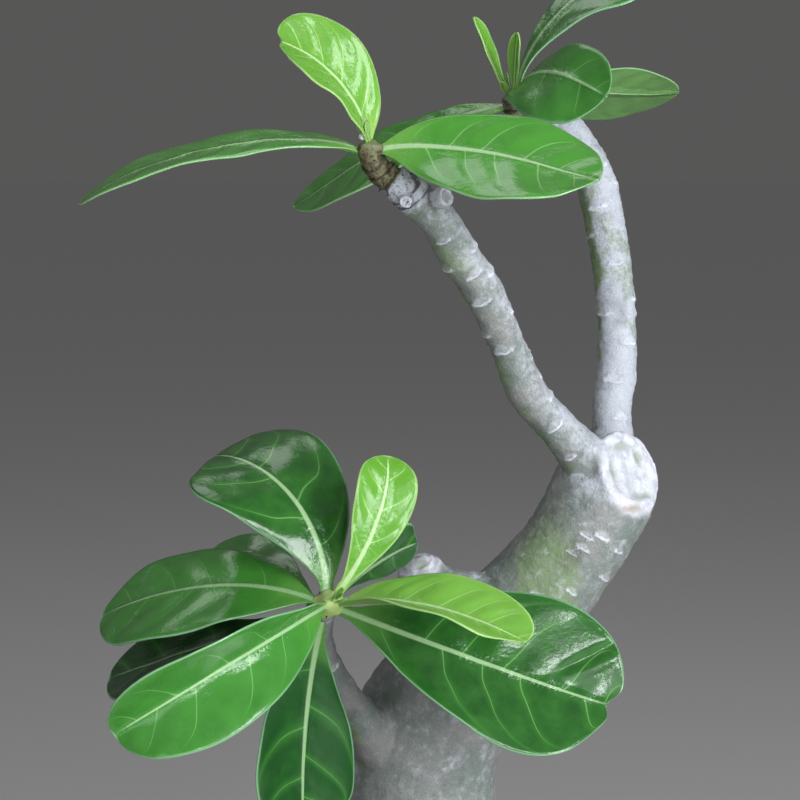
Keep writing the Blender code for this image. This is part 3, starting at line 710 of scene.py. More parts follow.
def melt(raw):
    """Melt closed shapes that overlap into one skin."""
    remesh = raw.modifiers.new("melt", "REMESH")
    remesh.mode = "VOXEL"
    remesh.voxel_size = VOXEL


head = tube(with_dome(WALKS["trunk"]), 48)
facing = Vector(HEAD_CUT["facing"]).normalized()
cut = bmesh.ops.bisect_plane(head, geom=head.verts[:] + head.edges[:] + head.faces[:], clear_outer=True,
                             plane_co=Vector(HEAD_CUT["at"]) - facing * HEAD_END, plane_no=facing)
bmesh.ops.contextual_create(head, geom=[e for e in cut["geom_cut"] if isinstance(e, bmesh.types.BMEdge)])
shapes = [head, callused_cut(**HEAD_CUT), callused_cut(**SHOULDER_CUT)]
shapes += [tube(with_dome(walk)) for name, walk in WALKS.items() if name != "trunk"]
shapes += [pruned_stub(*stub) for stub in STUBS]
wood = evaluated(joined(shapes), melt)
print("the wood's skin:", len(wood.verts), "vertices")

# %% [markdown]
# Where two tubes meet, the skin has a hard crease, but wood swells there. Smoothing only the vertices near
# a fork rounds it like a fillet, and a light pass over everything takes out the voxels' small steps.

# %% Smooth the forks
FORKS = (((58, 3, 244), 15), ((61, 16, 246), 12), ((-6, -7, 156), 14), ((5, -1, 196), 14),
         ((4, -32, 333), 4.5), ((-4, -35, 334.5), 3.5))   # middle and reach
CORE = 0.75      # share of a fork's reach that is smoothed the most


def smooth(verts, passes=1):
    """Move vertices of the wood towards their neighbours' middle."""
    for _ in range(passes):
        bmesh.ops.smooth_vert(wood, verts=verts, factor=0.5, use_axis_x=True, use_axis_y=True,
                              use_axis_z=True)


smooth(wood.verts)
for at, reach in FORKS:
    middle = Vector(at)
    near = [vert for vert in wood.verts if (vert.co - middle).length < reach]
    smooth([vert for vert in near if (vert.co - middle).length < reach * CORE], round(reach / 2))
    smooth(near, round(reach / 4))
wood.normal_update()
place = np.array([vert.co for vert in wood.verts])
outward = np.array([vert.normal for vert in wood.verts])

# %% [markdown]
# To place a scar or a stain we ask of each vertex which branch it belongs to, how far along the branch it
# lies, and how far round it. A turn of 0 faces the viewer and a positive one is to the picture's right.

# %% Measure the wood along its branches
def along_branches(place):
    """For each point: its branch's number, the distance along it, the turn about it and the radius there."""
    nearest = np.full(len(place), np.inf)
    measured = np.zeros((len(place), 4))
    for number, walk in enumerate(WALKS.values()):
        points, radii = walk[:, :3], walk[:, 3]
        travelled = np.concatenate([[0], np.cumsum(steps_along(walk))])
        ahead = np.gradient(points, axis=0)
        ahead /= np.linalg.norm(ahead, axis=1)[:, None]
        squares = (place ** 2).sum(1)[:, None] + (points ** 2).sum(1) - 2 * place @ points.T
        off = np.sqrt(np.maximum(squares, 0)) - radii
        index = off.argmin(1)
        off = off[np.arange(len(place)), index]
        away = place - points[index]
        axis = ahead[index]
        toward = np.array([0, -1, 0]) - axis * -axis[:, 1:2]
        toward /= np.linalg.norm(toward, axis=1)[:, None]
        right = np.cross(axis, toward)
        turn = np.arctan2((away * right).sum(1), (away * toward).sum(1))
        here = np.stack([np.full(len(place), number), travelled[index] + (away * axis).sum(1), turn,
                         radii[index]], 1)
        closer = off < nearest
        nearest[closer] = off[closer]
        measured[closer] = here[closer]
    return measured.T


branch, along, turn, thickness = along_branches(place)
BRANCH = {name: branch == number for number, name in enumerate(WALKS)}
print({name: int(mask.sum()) for name, mask in BRANCH.items()})

# %% [markdown]
# The bark has three scales of relief. The foot swells into thick roots. The whole skin has soft lumps and
# fine rings, because the wood swells and shrinks with the water in it. Every fallen leaf left a scar: a
# pad with a bright raised rim below it, like a smile. The scars that the viewer sees have their own places,
# and those round the back follow the golden angle, as leaves do.

# %% Scars that fallen leaves left
SCARS = {   # distance along the branch, turn, and size
    "left": ((98.2, -23, 0.8), (90.8, 58, 1.0), (88.9, -65, 0.9), (84.0, 4, 0.9), (80.4, 64, 1.0),
             (74.2, -21, 1.1), (55.9, -23, 1.1), (41.6, 90, 1.0), (66.0, 84, 1.0), (49.0, 82, 0.8),
             (33.0, 70, 0.9), (25.1, 2, 1.0), (62.0, -70, 0.8), (14.0, -30, 0.7)),
    "right": ((90.9, -16, 1.0), (104.0, 30, 0.9), (98.0, 74, 1.0), (72.0, 10, 0.9), (60.0, 76, 0.9),
              (56.1, -42, 1.1), (45.5, 35, 1.0), (32.4, -13, 1.1), (20.0, 20, 0.9), (82.0, -74, 0.9)),
    "low": ((60.0, 30, 0.8),),
    "trunk": ((201.2, -2, 0.8), (203.5, 13, 0.9), (197.3, 1, 0.8), (202.0, 44, 0.7), (193.8, -5, 0.6),
              (193.2, 50, 0.9), (184.0, 20, 0.7), (176.0, -8, 0.7)),
}
HIDDEN_SCARS = {"left": (12, 104, 6.5), "right": (16, 112, 6.5), "low": (28, 64, 7.0)}  # from, to, spacing
GOLDEN_ANGLE = 137.5
SCAR_WIDE = 2.9
SCAR_HIGH = 1.6
SCAR_HEIGHTS = dict(pad=0.26, rim=0.42, pit=0.20)   # how far each stands out or dips


def smooth_step(value, start, end):
    """0 before start, 1 past end, and smooth between."""
    share = np.clip((value - start) / (end - start), 0, 1)
    return share * share * (3 - 2 * share)


broken = lumps(place, 2.4, 11)
mottle = lumps(place, 6, 37)


def scar_at(name, start, degrees, size):
    """For each vertex: how near a scar's middle it is, from 2 there to 0 well outside, and how high on it."""
    across = ((turn - radians(degrees) + pi) % (2 * pi) - pi) * thickness / (SCAR_WIDE * size)
    up = (along - start) / (SCAR_HIGH * size) + 0.35 * across ** 2 - 0.2
    return np.clip(2 - np.hypot(across, up), 0, 2) * BRANCH[name], up


scars = [(name, *scar) for name, places in SCARS.items() for scar in places]
for name, (first, last, spacing) in HIDDEN_SCARS.items():
    for count, start in enumerate(np.arange(first, last, spacing)):
        degrees = (GOLDEN_ANGLE * count + 180) % 360 - 180
        if abs(degrees) > 95:
            scars.append((name, start, degrees, 1.0))
scar = np.zeros((3, len(place)))   # for each vertex's nearest scar: nearness, height on it and size
for name, start, degrees, size in scars:
    near, up = scar_at(name, start, degrees, size)
    closer = near > scar[0]
    scar[:, closer] = near[closer], up[closer], np.full(closer.sum(), size)
reach = 2 - scar[0] + 0.16 * broken
scar_rim = bell(reach - 0.95, 0.28) * smooth_step(-scar[1], -0.7, 0.5)
scar_height = SCAR_HEIGHTS["pad"] * bell(reach, 1.1, 4) + SCAR_HEIGHTS["rim"] * scar_rim
scar_height = scar[2] * (scar_height - SCAR_HEIGHTS["pit"] * bell(reach, 0.5))
print("leaf scars:", len(scars))

# %% Relief of the bark
ROOT_RISE = 1.6
ROOTS = (18, 16)         # the roots swell the most this high above the soil, and this far up and down
LEAF_PAD = (0.9, 2.3)    # height and radius of the swelling that carries a leaf

above_soil = smooth_step(place[:, 2] - SOIL_TOP, 3, 14)
on_branch = BRANCH["left"] | BRANCH["right"] | BRANCH["low"]
lumpy = lumps(place, 14) + 0.5 * lumps(place, 5)
around = np.arctan2(place[:, 1], place[:, 0])
flare = np.clip(1 - ((place[:, 2] - SOIL_TOP - ROOTS[0]) / ROOTS[1]) ** 2, 0, 1)
roots = flare * (np.cos(5 * around + 0.6) + 0.5 * np.cos(2 * around))
wrinkles = lumps(np.stack([along, turn * thickness * 0.22, branch * 9], 1), 1.7, 3)
relief = np.where(on_branch, 0.45, 0.7) * lumpy + ROOT_RISE * roots
relief += np.where(on_branch, 0.30, 0.24) * wrinkles + 0.16 * broken
for _, shoot, _, form in LEAVES.values():
    start = leaf_surface(shoot, np.zeros(1), np.zeros(1), **form)[0]
    relief += LEAF_PAD[0] * bell(np.linalg.norm(place - start, axis=1), LEAF_PAD[1], 4)

# %% [markdown]
# Just under a shoot the leaf bases have not worn off yet. They sit like stacked collars, with painted shade
# in the grooves between them, white at first, then brown and pitted, up to the soft green tip.

# %% Collars under the shoots
COLLARS = {"left": (25, 11), "right": (20, 8), "low": (12, 5)}   # how far down collars and brown reach
COLLAR_STEP = 4.4
ends = {name: steps_along(WALKS[name]).sum() for name in SHOOTS}
brown, fresh, white, collars, collar_count = (np.zeros(len(place)) for _ in range(5))
low_tip = BRANCH["low"] * smooth_step(along, ends["low"] - 6, ends["low"] - 3)
for name, (length, brown_length) in COLLARS.items():
    start, mine = ends[name] - length, BRANCH[name]
    count = (along - start + 1.5 * np.sin(turn + along / 2) + 0.6 * broken) / COLLAR_STEP
    collar = mine * smooth_step(along, start, start + 5)
    near_tip = mine * smooth_step(along, ends[name] - brown_length - 2, ends[name] - brown_length + 2)
    relief += collar * (1 - low_tip) * (1.1 * (count % 1) ** 0.6 - 0.5)
    collars = np.maximum(collars, collar)
    collar_count[mine] = count[mine]
    brown = np.maximum(brown, near_tip)
    white = np.maximum(white, collar - near_tip)
    fresh = np.maximum(fresh, mine * smooth_step(along, ends[name] + 0.8, ends[name] + 2.4))
fresh = np.maximum(fresh, low_tip)
brown *= 1 - fresh

# %% [markdown]
# A wound heals from its rim inwards: rolls of new bark creep over the cut face and meet in folds. So the
# relief there follows rings about the middle of the cut, broken by noise, with a few dents between them.

# %% Relief of the healed cuts
HEAD_DENTS = ((-0.60, 0.02, 0.09, 0.20), (-0.14, 0.62, 0.26, 0.09), (0.40, 0.30, 0.10, 0.20),
              (0.12, -0.60, 0.36, 0.08))   # x, y, width and height, as shares of the cut's radius
SHOULDER_DENTS = ((0.45, -0.30, 0.25, 0.35), (-0.35, 0.25, 0.30, 0.15))


def healed_cut(at, facing, radius, dents):
    """Where the cut face lies, the relief of its folds, and where it is dented, for each vertex."""
    normal = Vector(facing).normalized()
    upright = (Vector((0, 0, 1)) - normal * normal.z).normalized()
    away = (place - np.array(at)) / radius
    x, y, high = away @ np.array(upright.cross(normal)), away @ np.array(upright), away @ np.array(normal)
    distance, spoke = np.hypot(x, y), np.arctan2(y, x)
    face = smooth_step(high * radius, -2.0, -0.6) * smooth_step(-distance, -1.15, -0.98)
    rings = np.sin(2 * pi * (distance * 3.1 + 0.30 * mottle + 0.12 * np.sin(3 * spoke)))
    creases = np.sin(7 * x + 3 * mottle) * (1 - distance)
    dented = np.zeros(len(place))
    for dent_x, dent_y, wide, tall in dents:
        apart = ((x - dent_x) / wide) ** 2 + ((y - dent_y) / tall) ** 2
        dented = np.maximum(dented, np.exp(-apart * (1 + 0.5 * broken)))
    fine = sum(np.clip(1 - 5 * np.abs(lumps(place, size, seed)), 0, 1)
               for size, seed in ((3.6, 17), (2.1, 29)))
    folds = 0.16 * rings * smooth_step(distance, 0.3, 0.8) + 0.06 * creases - 0.10 * fine - 0.5 * dented
    rim = 0.6 * bell(distance - 0.78 + 0.05 * mottle, 0.06) * smooth_step(broken, -0.8, 0.0)
    level = 0.75 * np.clip(0.4 - high * radius, -1.2, 1.2) * smooth_step(-distance, -0.98, -0.85)
    return face, face * (folds + rim + level), dented * face


cut_face = np.zeros(len(place))
dents = np.zeros(len(place))
for wound, marks in ((HEAD_CUT, HEAD_DENTS), (SHOULDER_CUT, SHOULDER_DENTS)):
    face, folds, dented = healed_cut(**wound, dents=marks)
    relief = relief * (1 - 0.7 * face) + folds
    cut_face = np.maximum(cut_face, face)
    dents = np.maximum(dents, dented)
relief = (relief + scar_height) * above_soil

raise_surface(wood, relief)
bmesh.ops.recalc_face_normals(wood, faces=wood.faces)
trunk = add_piece("trunk_skin", wood, ["trunk"])

# %% [markdown]
# The bark is grey-green with a bluish white bloom of wax. As painted light, the bloom is painted paler on the
# side that faces the light. As painted shade, green, which also shows where the bloom has worn off, is
# painted on the side away from it, and hollows and grooves are painted dark. Four attributes keep what each
# vertex
# has: bark (bloom and painted light, green and painted shade, pale callus, dark and painted shade), age
# (brown, dent, fresh tip, low tip), scar (nearness, height on it, size) and collar (count, collars, brown).
# The paint breaks each one up with finer noise.

# %% Where the bark is white, green, scarred or dark, with painted light and shade
GREEN_PATCH = ((40, -13, 214), (11, 14, 20))            # moss below the left branch: middle and size
STAIN = ((67.6, -9.7, 236), (5.0, 4.4, 1.1))            # sap that ran from the head's cut
CROWN = (58, -8, 243)                                   # the head's shoulder, where wax gathers
# The way that the lit side of the wood faces: the bloom is painted paler there, as painted light.
LIT_SIDE = np.array([0.50, -0.14, 0.52])
STREAK_TURN = radians(-62)                              # a green streak runs up this side of the right branch


def stub_marks(place, at, facing, radius, height):
    """How much of a stub's pale end, and of the painted shade in the crease round its foot, there is at each
    point.
    """
    axis = np.array(Vector(facing).normalized())
    risen = (place - np.array(at)) @ axis
    off_axis = np.linalg.norm(place - np.array(at) - risen[:, None] * axis, axis=1) / radius
    end = smooth_step(risen, 0.45 * height, 0.75 * height) * smooth_step(-off_axis, -1.4, -1.15)
    gap = bell(risen - 0.22 * height, 0.6) * smooth_step(-off_axis, -1.6, -1.1)
    return end, 0.9 * gap * smooth_step(off_axis, 0.7, 0.9)


def blob(middle, size):
    """1 at a middle, falling to almost nothing at twice the size."""
    return np.exp(-(((place - middle) / size) ** 2).sum(1))


facing_light = outward @ LIT_SIDE
drift = lumps(place, 17, 31)
upper = BRANCH["trunk"] | BRANCH["shoulder"] | BRANCH["ridge"]
mossy = smooth_step(drift + mottle, 0, 0.6)
streak = bell(turn - STREAK_TURN, 0.36) * smooth_step(mottle + drift, -0.7, 0)
streak *= smooth_step(along, 34, 44) * smooth_step(-along, -106, -96)
crown = smooth_step((place - CROWN) @ np.array([0.3, -0.3, 0.9]), -8, 3)

# Painted light: the bloom is thickest where the skin faces the light, broken up by noise. On the right branch
# it thins only on the side away from the light.
bloom_and_light = smooth_step(facing_light + 0.30 * drift + 0.30 * mottle, -0.50, 1.20)
bloom_and_light = np.where(BRANCH["right"], smooth_step(facing_light + 0.3 * mottle, -1.3, -0.1), bloom_and_light)
bloom_and_light = np.where(upper, 0.20 * bloom_and_light + 0.26 * smooth_step(mottle + broken, 0.1, 0.8), bloom_and_light)
# Painted shade: the low branch, under the leaves, gets almost no bloom, so it is painted dark.
bloom_and_light[BRANCH["low"]] *= 0.15
bloom_and_light *= 1 - 0.32 * BRANCH["left"] * smooth_step(along, 22, 42)
bloom_and_light *= 1 - BRANCH["right"] * (0.9 * streak + 0.45 * mossy)
bloom_and_light = np.maximum(bloom_and_light, upper * crown * smooth_step(mottle + 0.4 * drift, -0.5, 0.3))

# Painted shade: green is painted thicker and darker on the side away from the light, as well as in the real
# streak and moss patches below.
green_and_shade = 0.75 * smooth_step(-facing_light + 0.7 * drift + 0.7 * mottle, -0.4, 1.0)
green_and_shade = np.where(BRANCH["right"], 0.15 * green_and_shade + 1.3 * streak + 0.7 * mossy, green_and_shade)
green_and_shade = np.where(upper, 0.35 * green_and_shade + 1.3 * blob(*GREEN_PATCH), green_and_shade)
pale = cut_face * (1 - 0.8 * dents)
# Painted shade: dark in the hollows of the lumps, and in the crease round each stub's foot.
dark_and_shade = 0.4 * smooth_step(-lumpy, 0.35, 0.9)
for stub in STUBS:
    dark_and_shade = np.maximum(dark_and_shade, stub_marks(place, *stub)[1])
stain = 0.75 * blob(*STAIN) * smooth_step(broken, -1, 0.6)
write_attribute(trunk, "scar", *scar)
write_attribute(trunk, "collar", collar_count, collars, brown)
write_attribute(trunk, "bark", *np.clip((np.maximum(bloom_and_light, white), green_and_shade, pale, dark_and_shade), 0, 1))
write_attribute(trunk, "age", *np.clip((np.maximum(brown, stain), dents, fresh, low_tip), 0, 1))


# %% Paint for the bark
def four_kept(tree, name):
    """The four parts of a colour attribute that was kept on the mesh."""
    kept = add_node(tree, "ShaderNodeAttribute", output="Color", attribute_name=name)
    return *split(kept, "Color"), Field(kept.socket.node.outputs["Alpha"])


# The moss colour also paints shade on the side away from the light, the wax colour also paints light on the
# side towards it, and the gap colour paints shade in hollows and grooves.
BARK = dict(   # the colours of its coats
    grey=(0.220, 0.224, 0.218), cool=(0.150, 0.188, 0.168), blotch=(0.275, 0.285, 0.270),
    grain=(0.31, 0.33, 0.325), moss_and_shade=(0.165, 0.248, 0.108), wax_and_light=(0.44, 0.47, 0.53),
    bright_wax=(0.54, 0.57, 0.65), scale=(0.085, 0.052, 0.022), olive=(0.135, 0.142, 0.048),
    callus=(0.50, 0.52, 0.57), bright_callus=(0.72, 0.74, 0.83), dent=(0.33, 0.38, 0.29),
    sap=(0.33, 0.23, 0.14), gap=(0.035, 0.022, 0.014), tip=(0.155, 0.190, 0.060), lush=(0.46, 0.64, 0.20))


def bark_paint():
    """Grey bark under coats of mossy patches, waxy white, brown scales and pale scars. It is painted paler on
    the side towards the light as painted light, and darker and greener on the side away from it and in
    hollows and grooves as painted shade.
    """
    material = new_material("bark", Roughness=0.62)
    tree = material.node_tree
    bloom_and_light, green_and_shade, pale, dark_and_shade = four_kept(tree, "bark")
    brown, dents, fresh, lush = four_kept(tree, "age")
    grain = speckle(tree, 0.5, 2.0, 0.6)
    blotch = speckle(tree, 4.0, 4.0, 0.6)
    cloud = speckle(tree, 13.0, 3.0, 0.5)

    # A scar's pale rim, open above like a smile, the pits of the collars, and painted shade in the grooves
    # between the collars
    near, up, _ = kept_numbers(tree, "scar")
    reach = 2.0 - near + nudge(speckle(tree, 1.6, 2.0), 0.9)
    rim = (1 - fade(abs(reach - 0.95), 0.08, 0.42)) * (1 - fade(up, -0.6, 0.5))
    pad = (1 - fade(reach, 0.3, 1.1)) * 0.42
    pale = pale.or_more(rim.or_more(pad))
    count, collars, scales = kept_numbers(tree, "collar")
    to_edge = abs((count + 0.5).fraction() - 0.5)
    # Painted shade in the grooves between collars, at the steps of their relief.
    gap = (1 - fade(to_edge, 0.04, 0.12)) * collars * fade(blotch, 0.30, 0.5)
    pits = fade(speckle(tree, 1.2, 2.0), 0.54, 0.62) * scales.or_more(collars * 0.6)
    dark_and_shade = dark_and_shade.or_more(gap.or_more(pits))

    # The coats, from plain bark to the soft green tip of a shoot. The moss coat also paints shade on the side
    # away from the light, the wax coat paints light on the side towards it, and the darkest coat paints shade
    # in hollows and grooves
    # The green here carries painted shade on the side away from the light, as well as moss.
    mossy = green_and_shade + (nudge(blotch, 1.2) + nudge(grain, 0.4))
    worn = nudge(speckle(tree, 1.7, 3.0, 0.6), 1.3) + nudge(blotch, 0.8)
    ragged = fade(brown + nudge(blotch, 1.0), 0.2, 0.8)
    wax_and_light = painted(BARK["wax_and_light"], (fade(grain, 0.32, 0.66), BARK["bright_wax"]))
    olive = painted(BARK["scale"], (fade(blotch, 0.42, 0.58), BARK["olive"]))
    callus = painted(BARK["callus"], (fade(blotch, 0.35, 0.65), BARK["bright_callus"]))
    green_tip = painted(BARK["tip"], (lush, BARK["lush"]))
    colour = painted(BARK["grey"],
                     (fade(cloud, 0.35, 0.65), BARK["cool"]),
                     (fade(blotch, 0.45, 0.68) * 0.5, BARK["blotch"]),
                     (fade(grain, 0.38, 0.65) * 0.3, BARK["grain"]),
                     (fade(mossy, 0.25, 0.9) * 0.8, BARK["moss_and_shade"]),
                     (fade(worn + bloom_and_light, 0.05, 1.0) * 0.86, wax_and_light),
                     (ragged * fade(grain, 0.15, 0.4) * 0.93, olive),
                     (pale * fade(grain, 0.05, 0.42) * 0.9, callus),
                     (dents * 0.75, BARK["dent"]),
                     (brown * pale * 1.4, BARK["sap"]),
                     (dark_and_shade * fade(grain, 0.30, 0.42) * 0.85, BARK["gap"]),
                     (fresh * 0.9, green_tip))
    skin = speckle(tree, 0.6, 3.0, 0.6) + speckle(tree, 2.4, 3.0) * 2.5 + (rim * 0.8 - gap * 2.0)
    cover(material, colour, skin * (1 - fresh * 0.8), 0.22, 0.8)
    return material


bark = bark_paint()
trunk.data.materials.append(bark)

# %% [markdown]
# Two twigs were nipped off the left branch. A remesh would blunt their sharp rims, so each stub's end is a
# turned piece of its own that sits on the skin, rounded by a Subdivision modifier and dented by noise.

# %% Stubs of the nipped twigs
def soften(raw):
    """Round a turned end."""
    raw.modifiers.new("round", "SUBSURF").levels = 2


for number, (at, facing, radius, height) in enumerate(STUBS):
    profile = [(0, height - 0.6), (radius * 0.42, height - 0.55), (radius * 0.62, height - 0.15),
               (radius * 0.88, height + 0.15), (radius * 1.06, height - 0.35), (radius * 1.05, height * 0.6),
               (radius * 0.96, height * 0.35), (radius * 1.12, height * 0.1), (radius * 0.9, -1.5), (0, -1.5)]
    rounded = evaluated(placed(turned(profile, 20), at, facing), soften)
    spots = np.array([vert.co for vert in rounded.verts])
    dent = 0.32 * lumps(spots, 1.5, 71) + 0.14 * lumps(spots, 0.7, 5)
    raise_surface(rounded, dent)
    stub = add_piece(f"nipped_twig_{number}", rounded)
    end, gap = stub_marks(spots, at, facing, radius, height)
    none = np.zeros(len(spots))
    # Painted light and shade: each stub gets full bloom all over, paler than the branch round it, and its
    # dents and the crease round its foot are painted dark.
    write_attribute(stub, "bark", *np.clip((none + 1, none, 1.2 * end, gap - 2 * dent), 0, 1))
    write_attribute(stub, "age", none, none, none, none)
    stub.data.materials.append(bark)

# %% [markdown]
# In the middle of each rosette new leaves are on their way. They are leaves like the others, only a few
# millimetres long and upright, so the same function makes them. The left shoot also carries a drop of dried
# sap, and dark bristles, which are what is left of old leaf bases.

# %% Buds, sap and bristles at the shoots
BUDS = {   # a bud's leaf: its shoot and its form
    "bud_low_a": (LOW, dict(down=2.6, out=2.4, around=60, rise=84, length=6, width=2.2)),
    "bud_low_b": (LOW, dict(down=2.2, out=1.9, around=95, rise=80, length=8, width=2.6)),
    "bud_low_c": (LOW, dict(down=2.8, out=2.3, around=-50, rise=76, length=7, width=2.8, droop=-6)),
    "bud_low_d": (LOW, dict(down=2.0, out=2.2, around=165, rise=76, length=6.5, width=2.6, droop=-6)),
    "bud_left_a": (LEFT, dict(down=1.6, out=2.4, around=-80, rise=80, length=8, width=4.6, droop=-10)),
    "bud_left_b": (LEFT, dict(down=1.8, out=2.4, around=-20, rise=76, length=6.5, width=4.0, droop=-6)),
    "bud_right_a": (RIGHT, dict(down=1.4, out=1.6, around=-100, rise=70, length=6, width=3.4, droop=10)),
    "bud_right_b": (RIGHT, dict(down=1.4, out=1.6, around=20, rise=76, length=7, width=3.4, droop=6)),
}
for number, (name, (shoot, form)) in enumerate(BUDS.items()):
    form = dict(petiole=0.9, fold=34, belly=0.9, **form)
    build_leaf(name, "young", shoot, form, 31 + number, PLAIN_LOOK, PAINTS["young"])

SAP = ((-17.7, -40.4, 353.9), 1.15)                 # middle and radius of the drop
BRISTLES = {"left": 26, "right": 12, "low": 8}      # how many on each shoot
bm = bmesh.new()
bmesh.ops.create_icosphere(bm, subdivisions=3, radius=SAP[1], matrix=Matrix.Translation(SAP[0]))
drop = add_piece("sap_drop", bm)
drop.data.materials.append(new_material(
    "dried_sap", Base_Color=(0.72, 0.72, 0.76, 1), Roughness=0.18, Subsurface_Weight=0.4,
    Subsurface_Radius=(1, 1, 1), Subsurface_Scale=0.001))

draw = np.random.default_rng(3)
bm = bmesh.new()
for name, count in BRISTLES.items():
    walk = WALKS[name]
    for _ in range(count):
        step = -2 - int(draw.integers(0, COLLARS[name][1] // 2 + 2))
        at, ahead = Vector(walk[step, :3]), Vector(walk[step, :3] - walk[step - 1, :3]).normalized()
        sideways = ahead.orthogonal().normalized()
        sideways.rotate(Matrix.Rotation(draw.uniform(0, 2 * pi), 3, ahead))
        leans = (sideways + ahead * draw.uniform(-0.2, 0.9)).normalized()
        long = draw.uniform(0.6, 1.3)
        foot = Matrix.Translation(at + sideways * (walk[step, 3] + 0.1) + leans * long / 2)
        bmesh.ops.create_cone(bm, cap_ends=True, segments=5, radius1=0.26, radius2=0.05, depth=long,
                              matrix=foot @ turned_to(leans))
bristles = add_piece("leaf_base_bristles", bm)
bristles.data.materials.append(new_material("husk", Base_Color=(0.045, 0.022, 0.016, 1), Roughness=0.7))

# %% [markdown]
# ## The pot
# The photograph stops above the pot, so it is a plain one, as a potter throws it: a tapered wall with faint
# rings from the fingers, a heavier collar to lift it by, a rounded lip and drain holes in the base. A thrown
# pot is round about one axis, so its outline is drawn once and spun, just as the wheel does it.

# %% Sizes of the pot
POT_HEIGHT = 105.0
POT_RIM_RADIUS = 75.0
POT_WALL = 5.0
POT_BASE_RADIUS = 51.0
POT_FLOOR = 8.0
COLLAR_HEIGHT = 19.0
COLLAR_STEP_IN = 4.0
LIP_ROUND = 1.8
POT_EDGE = 1.2         # how far a small rounded edge stands in from its corner
EDGE_MIDDLE = 0.35     # and how far its middle point does
POT_CORNER = 3.0
DRAIN_RADIUS = 5.0
DRAIN_CIRCLE = 27.0
DRAIN_COUNT = 4
THROWING_RINGS = 3.4   # from one finger mark to the next
RING_DEPTH = 0.16

# %% The pot's outline
def inner_wall(z):
    """Radius of the pot's inside at a height."""
    share = (z - POT_FLOOR) / (POT_HEIGHT - POT_FLOOR)
    foot = POT_BASE_RADIUS - POT_WALL
    return foot + (POT_RIM_RADIUS - POT_WALL - foot) * share


def with_finger_marks(outline, spacing=0.9):
    """Points a spacing apart on the outline, whose long slanted walls are pressed in by rings."""
    marked = []
    for (r0, z0), (r1, z1) in zip(outline, outline[1:]):
        count = max(1, round(np.hypot(r1 - r0, z1 - z0) / spacing))
        for share in np.arange(count) / count:
            z = z0 + (z1 - z0) * share
            press = RING_DEPTH * (0.5 - 0.5 * cos(2 * pi * z / THROWING_RINGS + sin(z / 9)))
            pressed = press * min(1, count / 8) * sin(pi * share) ** 0.3 if abs(z1 - z0) > 10 else 0
            marked.append((r0 + (r1 - r0) * share - pressed, z))
    return [*marked, outline[-1]]


under_collar = POT_HEIGHT - COLLAR_HEIGHT
lip = [(POT_RIM_RADIUS - LIP_ROUND + LIP_ROUND * cos(a), POT_HEIGHT - LIP_ROUND + LIP_ROUND * sin(a))
       for a in np.radians(np.arange(0, 91, 15))]
inside = POT_RIM_RADIUS - POT_WALL
collar_radius = POT_RIM_RADIUS - POT_EDGE
outline = [(0, 0), (POT_BASE_RADIUS - POT_EDGE, 0), (POT_BASE_RADIUS - EDGE_MIDDLE, EDGE_MIDDLE),
           (POT_BASE_RADIUS, POT_EDGE), (collar_radius - COLLAR_STEP_IN, under_collar),
           (collar_radius - POT_EDGE, under_collar),
           (collar_radius - EDGE_MIDDLE, under_collar + EDGE_MIDDLE),
           (collar_radius, under_collar + POT_EDGE), *lip,
           (inside + POT_EDGE, POT_HEIGHT), (inside + EDGE_MIDDLE, POT_HEIGHT - EDGE_MIDDLE),
           (inside, POT_HEIGHT - POT_EDGE),
           (inner_wall(POT_FLOOR + POT_CORNER), POT_FLOOR + POT_CORNER),
           (inner_wall(POT_FLOOR) - POT_CORNER, POT_FLOOR), (0, POT_FLOOR)]

# %% Throw the pot and bore its drains
drills = bmesh.new()
for number in range(DRAIN_COUNT):
    turn_to = 2 * pi * (number + 0.5) / DRAIN_COUNT
    at = Matrix.Translation((DRAIN_CIRCLE * cos(turn_to), DRAIN_CIRCLE * sin(turn_to), 0))
    bmesh.ops.create_cone(drills, cap_ends=True, segments=40, radius1=DRAIN_RADIUS, radius2=DRAIN_RADIUS,
                          depth=4 * POT_FLOOR, matrix=at)
drill = to_object("drills", drills)


def bore_drains(raw):
    """Cut the drain holes through the base."""
    raw.modifiers.new("holes", "BOOLEAN").object = drill


pot = add_piece("clay_pot", evaluated(turned(with_finger_marks(outline), 144), bore_drains), ["pot"])
bpy.data.meshes.remove(drill.data)
pot.data.set_sharp_from_angle(angle=radians(35))

# %% [markdown]
# Fired clay is orange-brown and matt. Lime from the water dries to a pale haze on the outside, most of all
# near the foot, and small dark iron specks lie in the clay.

# %% Paint for the clay
clay = new_material("fired_clay", Roughness=0.86)
tree = clay.node_tree
height = split(add_node(tree, "ShaderNodeTexCoord", output="Object"))[2]
damp = 1 - fade(height, 0.004, 0.030)
haze = speckle(tree, 11.0, 5.0, 0.62) + damp * 0.16
colour = painted((0.42, 0.155, 0.070),
                 (fade(speckle(tree, 18.0, 4.0), 0.35, 0.65), (0.53, 0.215, 0.105)),
                 (fade(haze, 0.52, 0.80) * 0.55, (0.62, 0.44, 0.34)),
                 (fade(speckle(tree, 1.1, 2.0), 0.66, 0.74) * 0.7, (0.14, 0.05, 0.03)))
cover(clay, colour, speckle(tree, 0.8, 4.0) + speckle(tree, 6.0, 2.0), 0.30, 0.7)
pot.data.materials.append(clay)

# %% [markdown]
# ## The soil
# Such a plant rots in wet ground, so it stands in a gritty mix: dark compost with pale pumice and red lava.
# The bed is a spun disc whose top is roughened by noise, and it closes round the trunk. The grit is hundreds
# of small stones scattered by a seeded draw, each a rounded lump of a few faces sunk partly in the bed.

# %% Lay the bed
BED_RINGS = 56
STONES = 900


def bed_height(x, y):
    """Height of the soil at a place."""
    at = Vector((x, y, 0))
    return SOIL_TOP + 0.9 * noise.noise(at / 6) + 0.9 * noise.noise(at / 17) + 0.35 * noise.noise(at / 1.6)


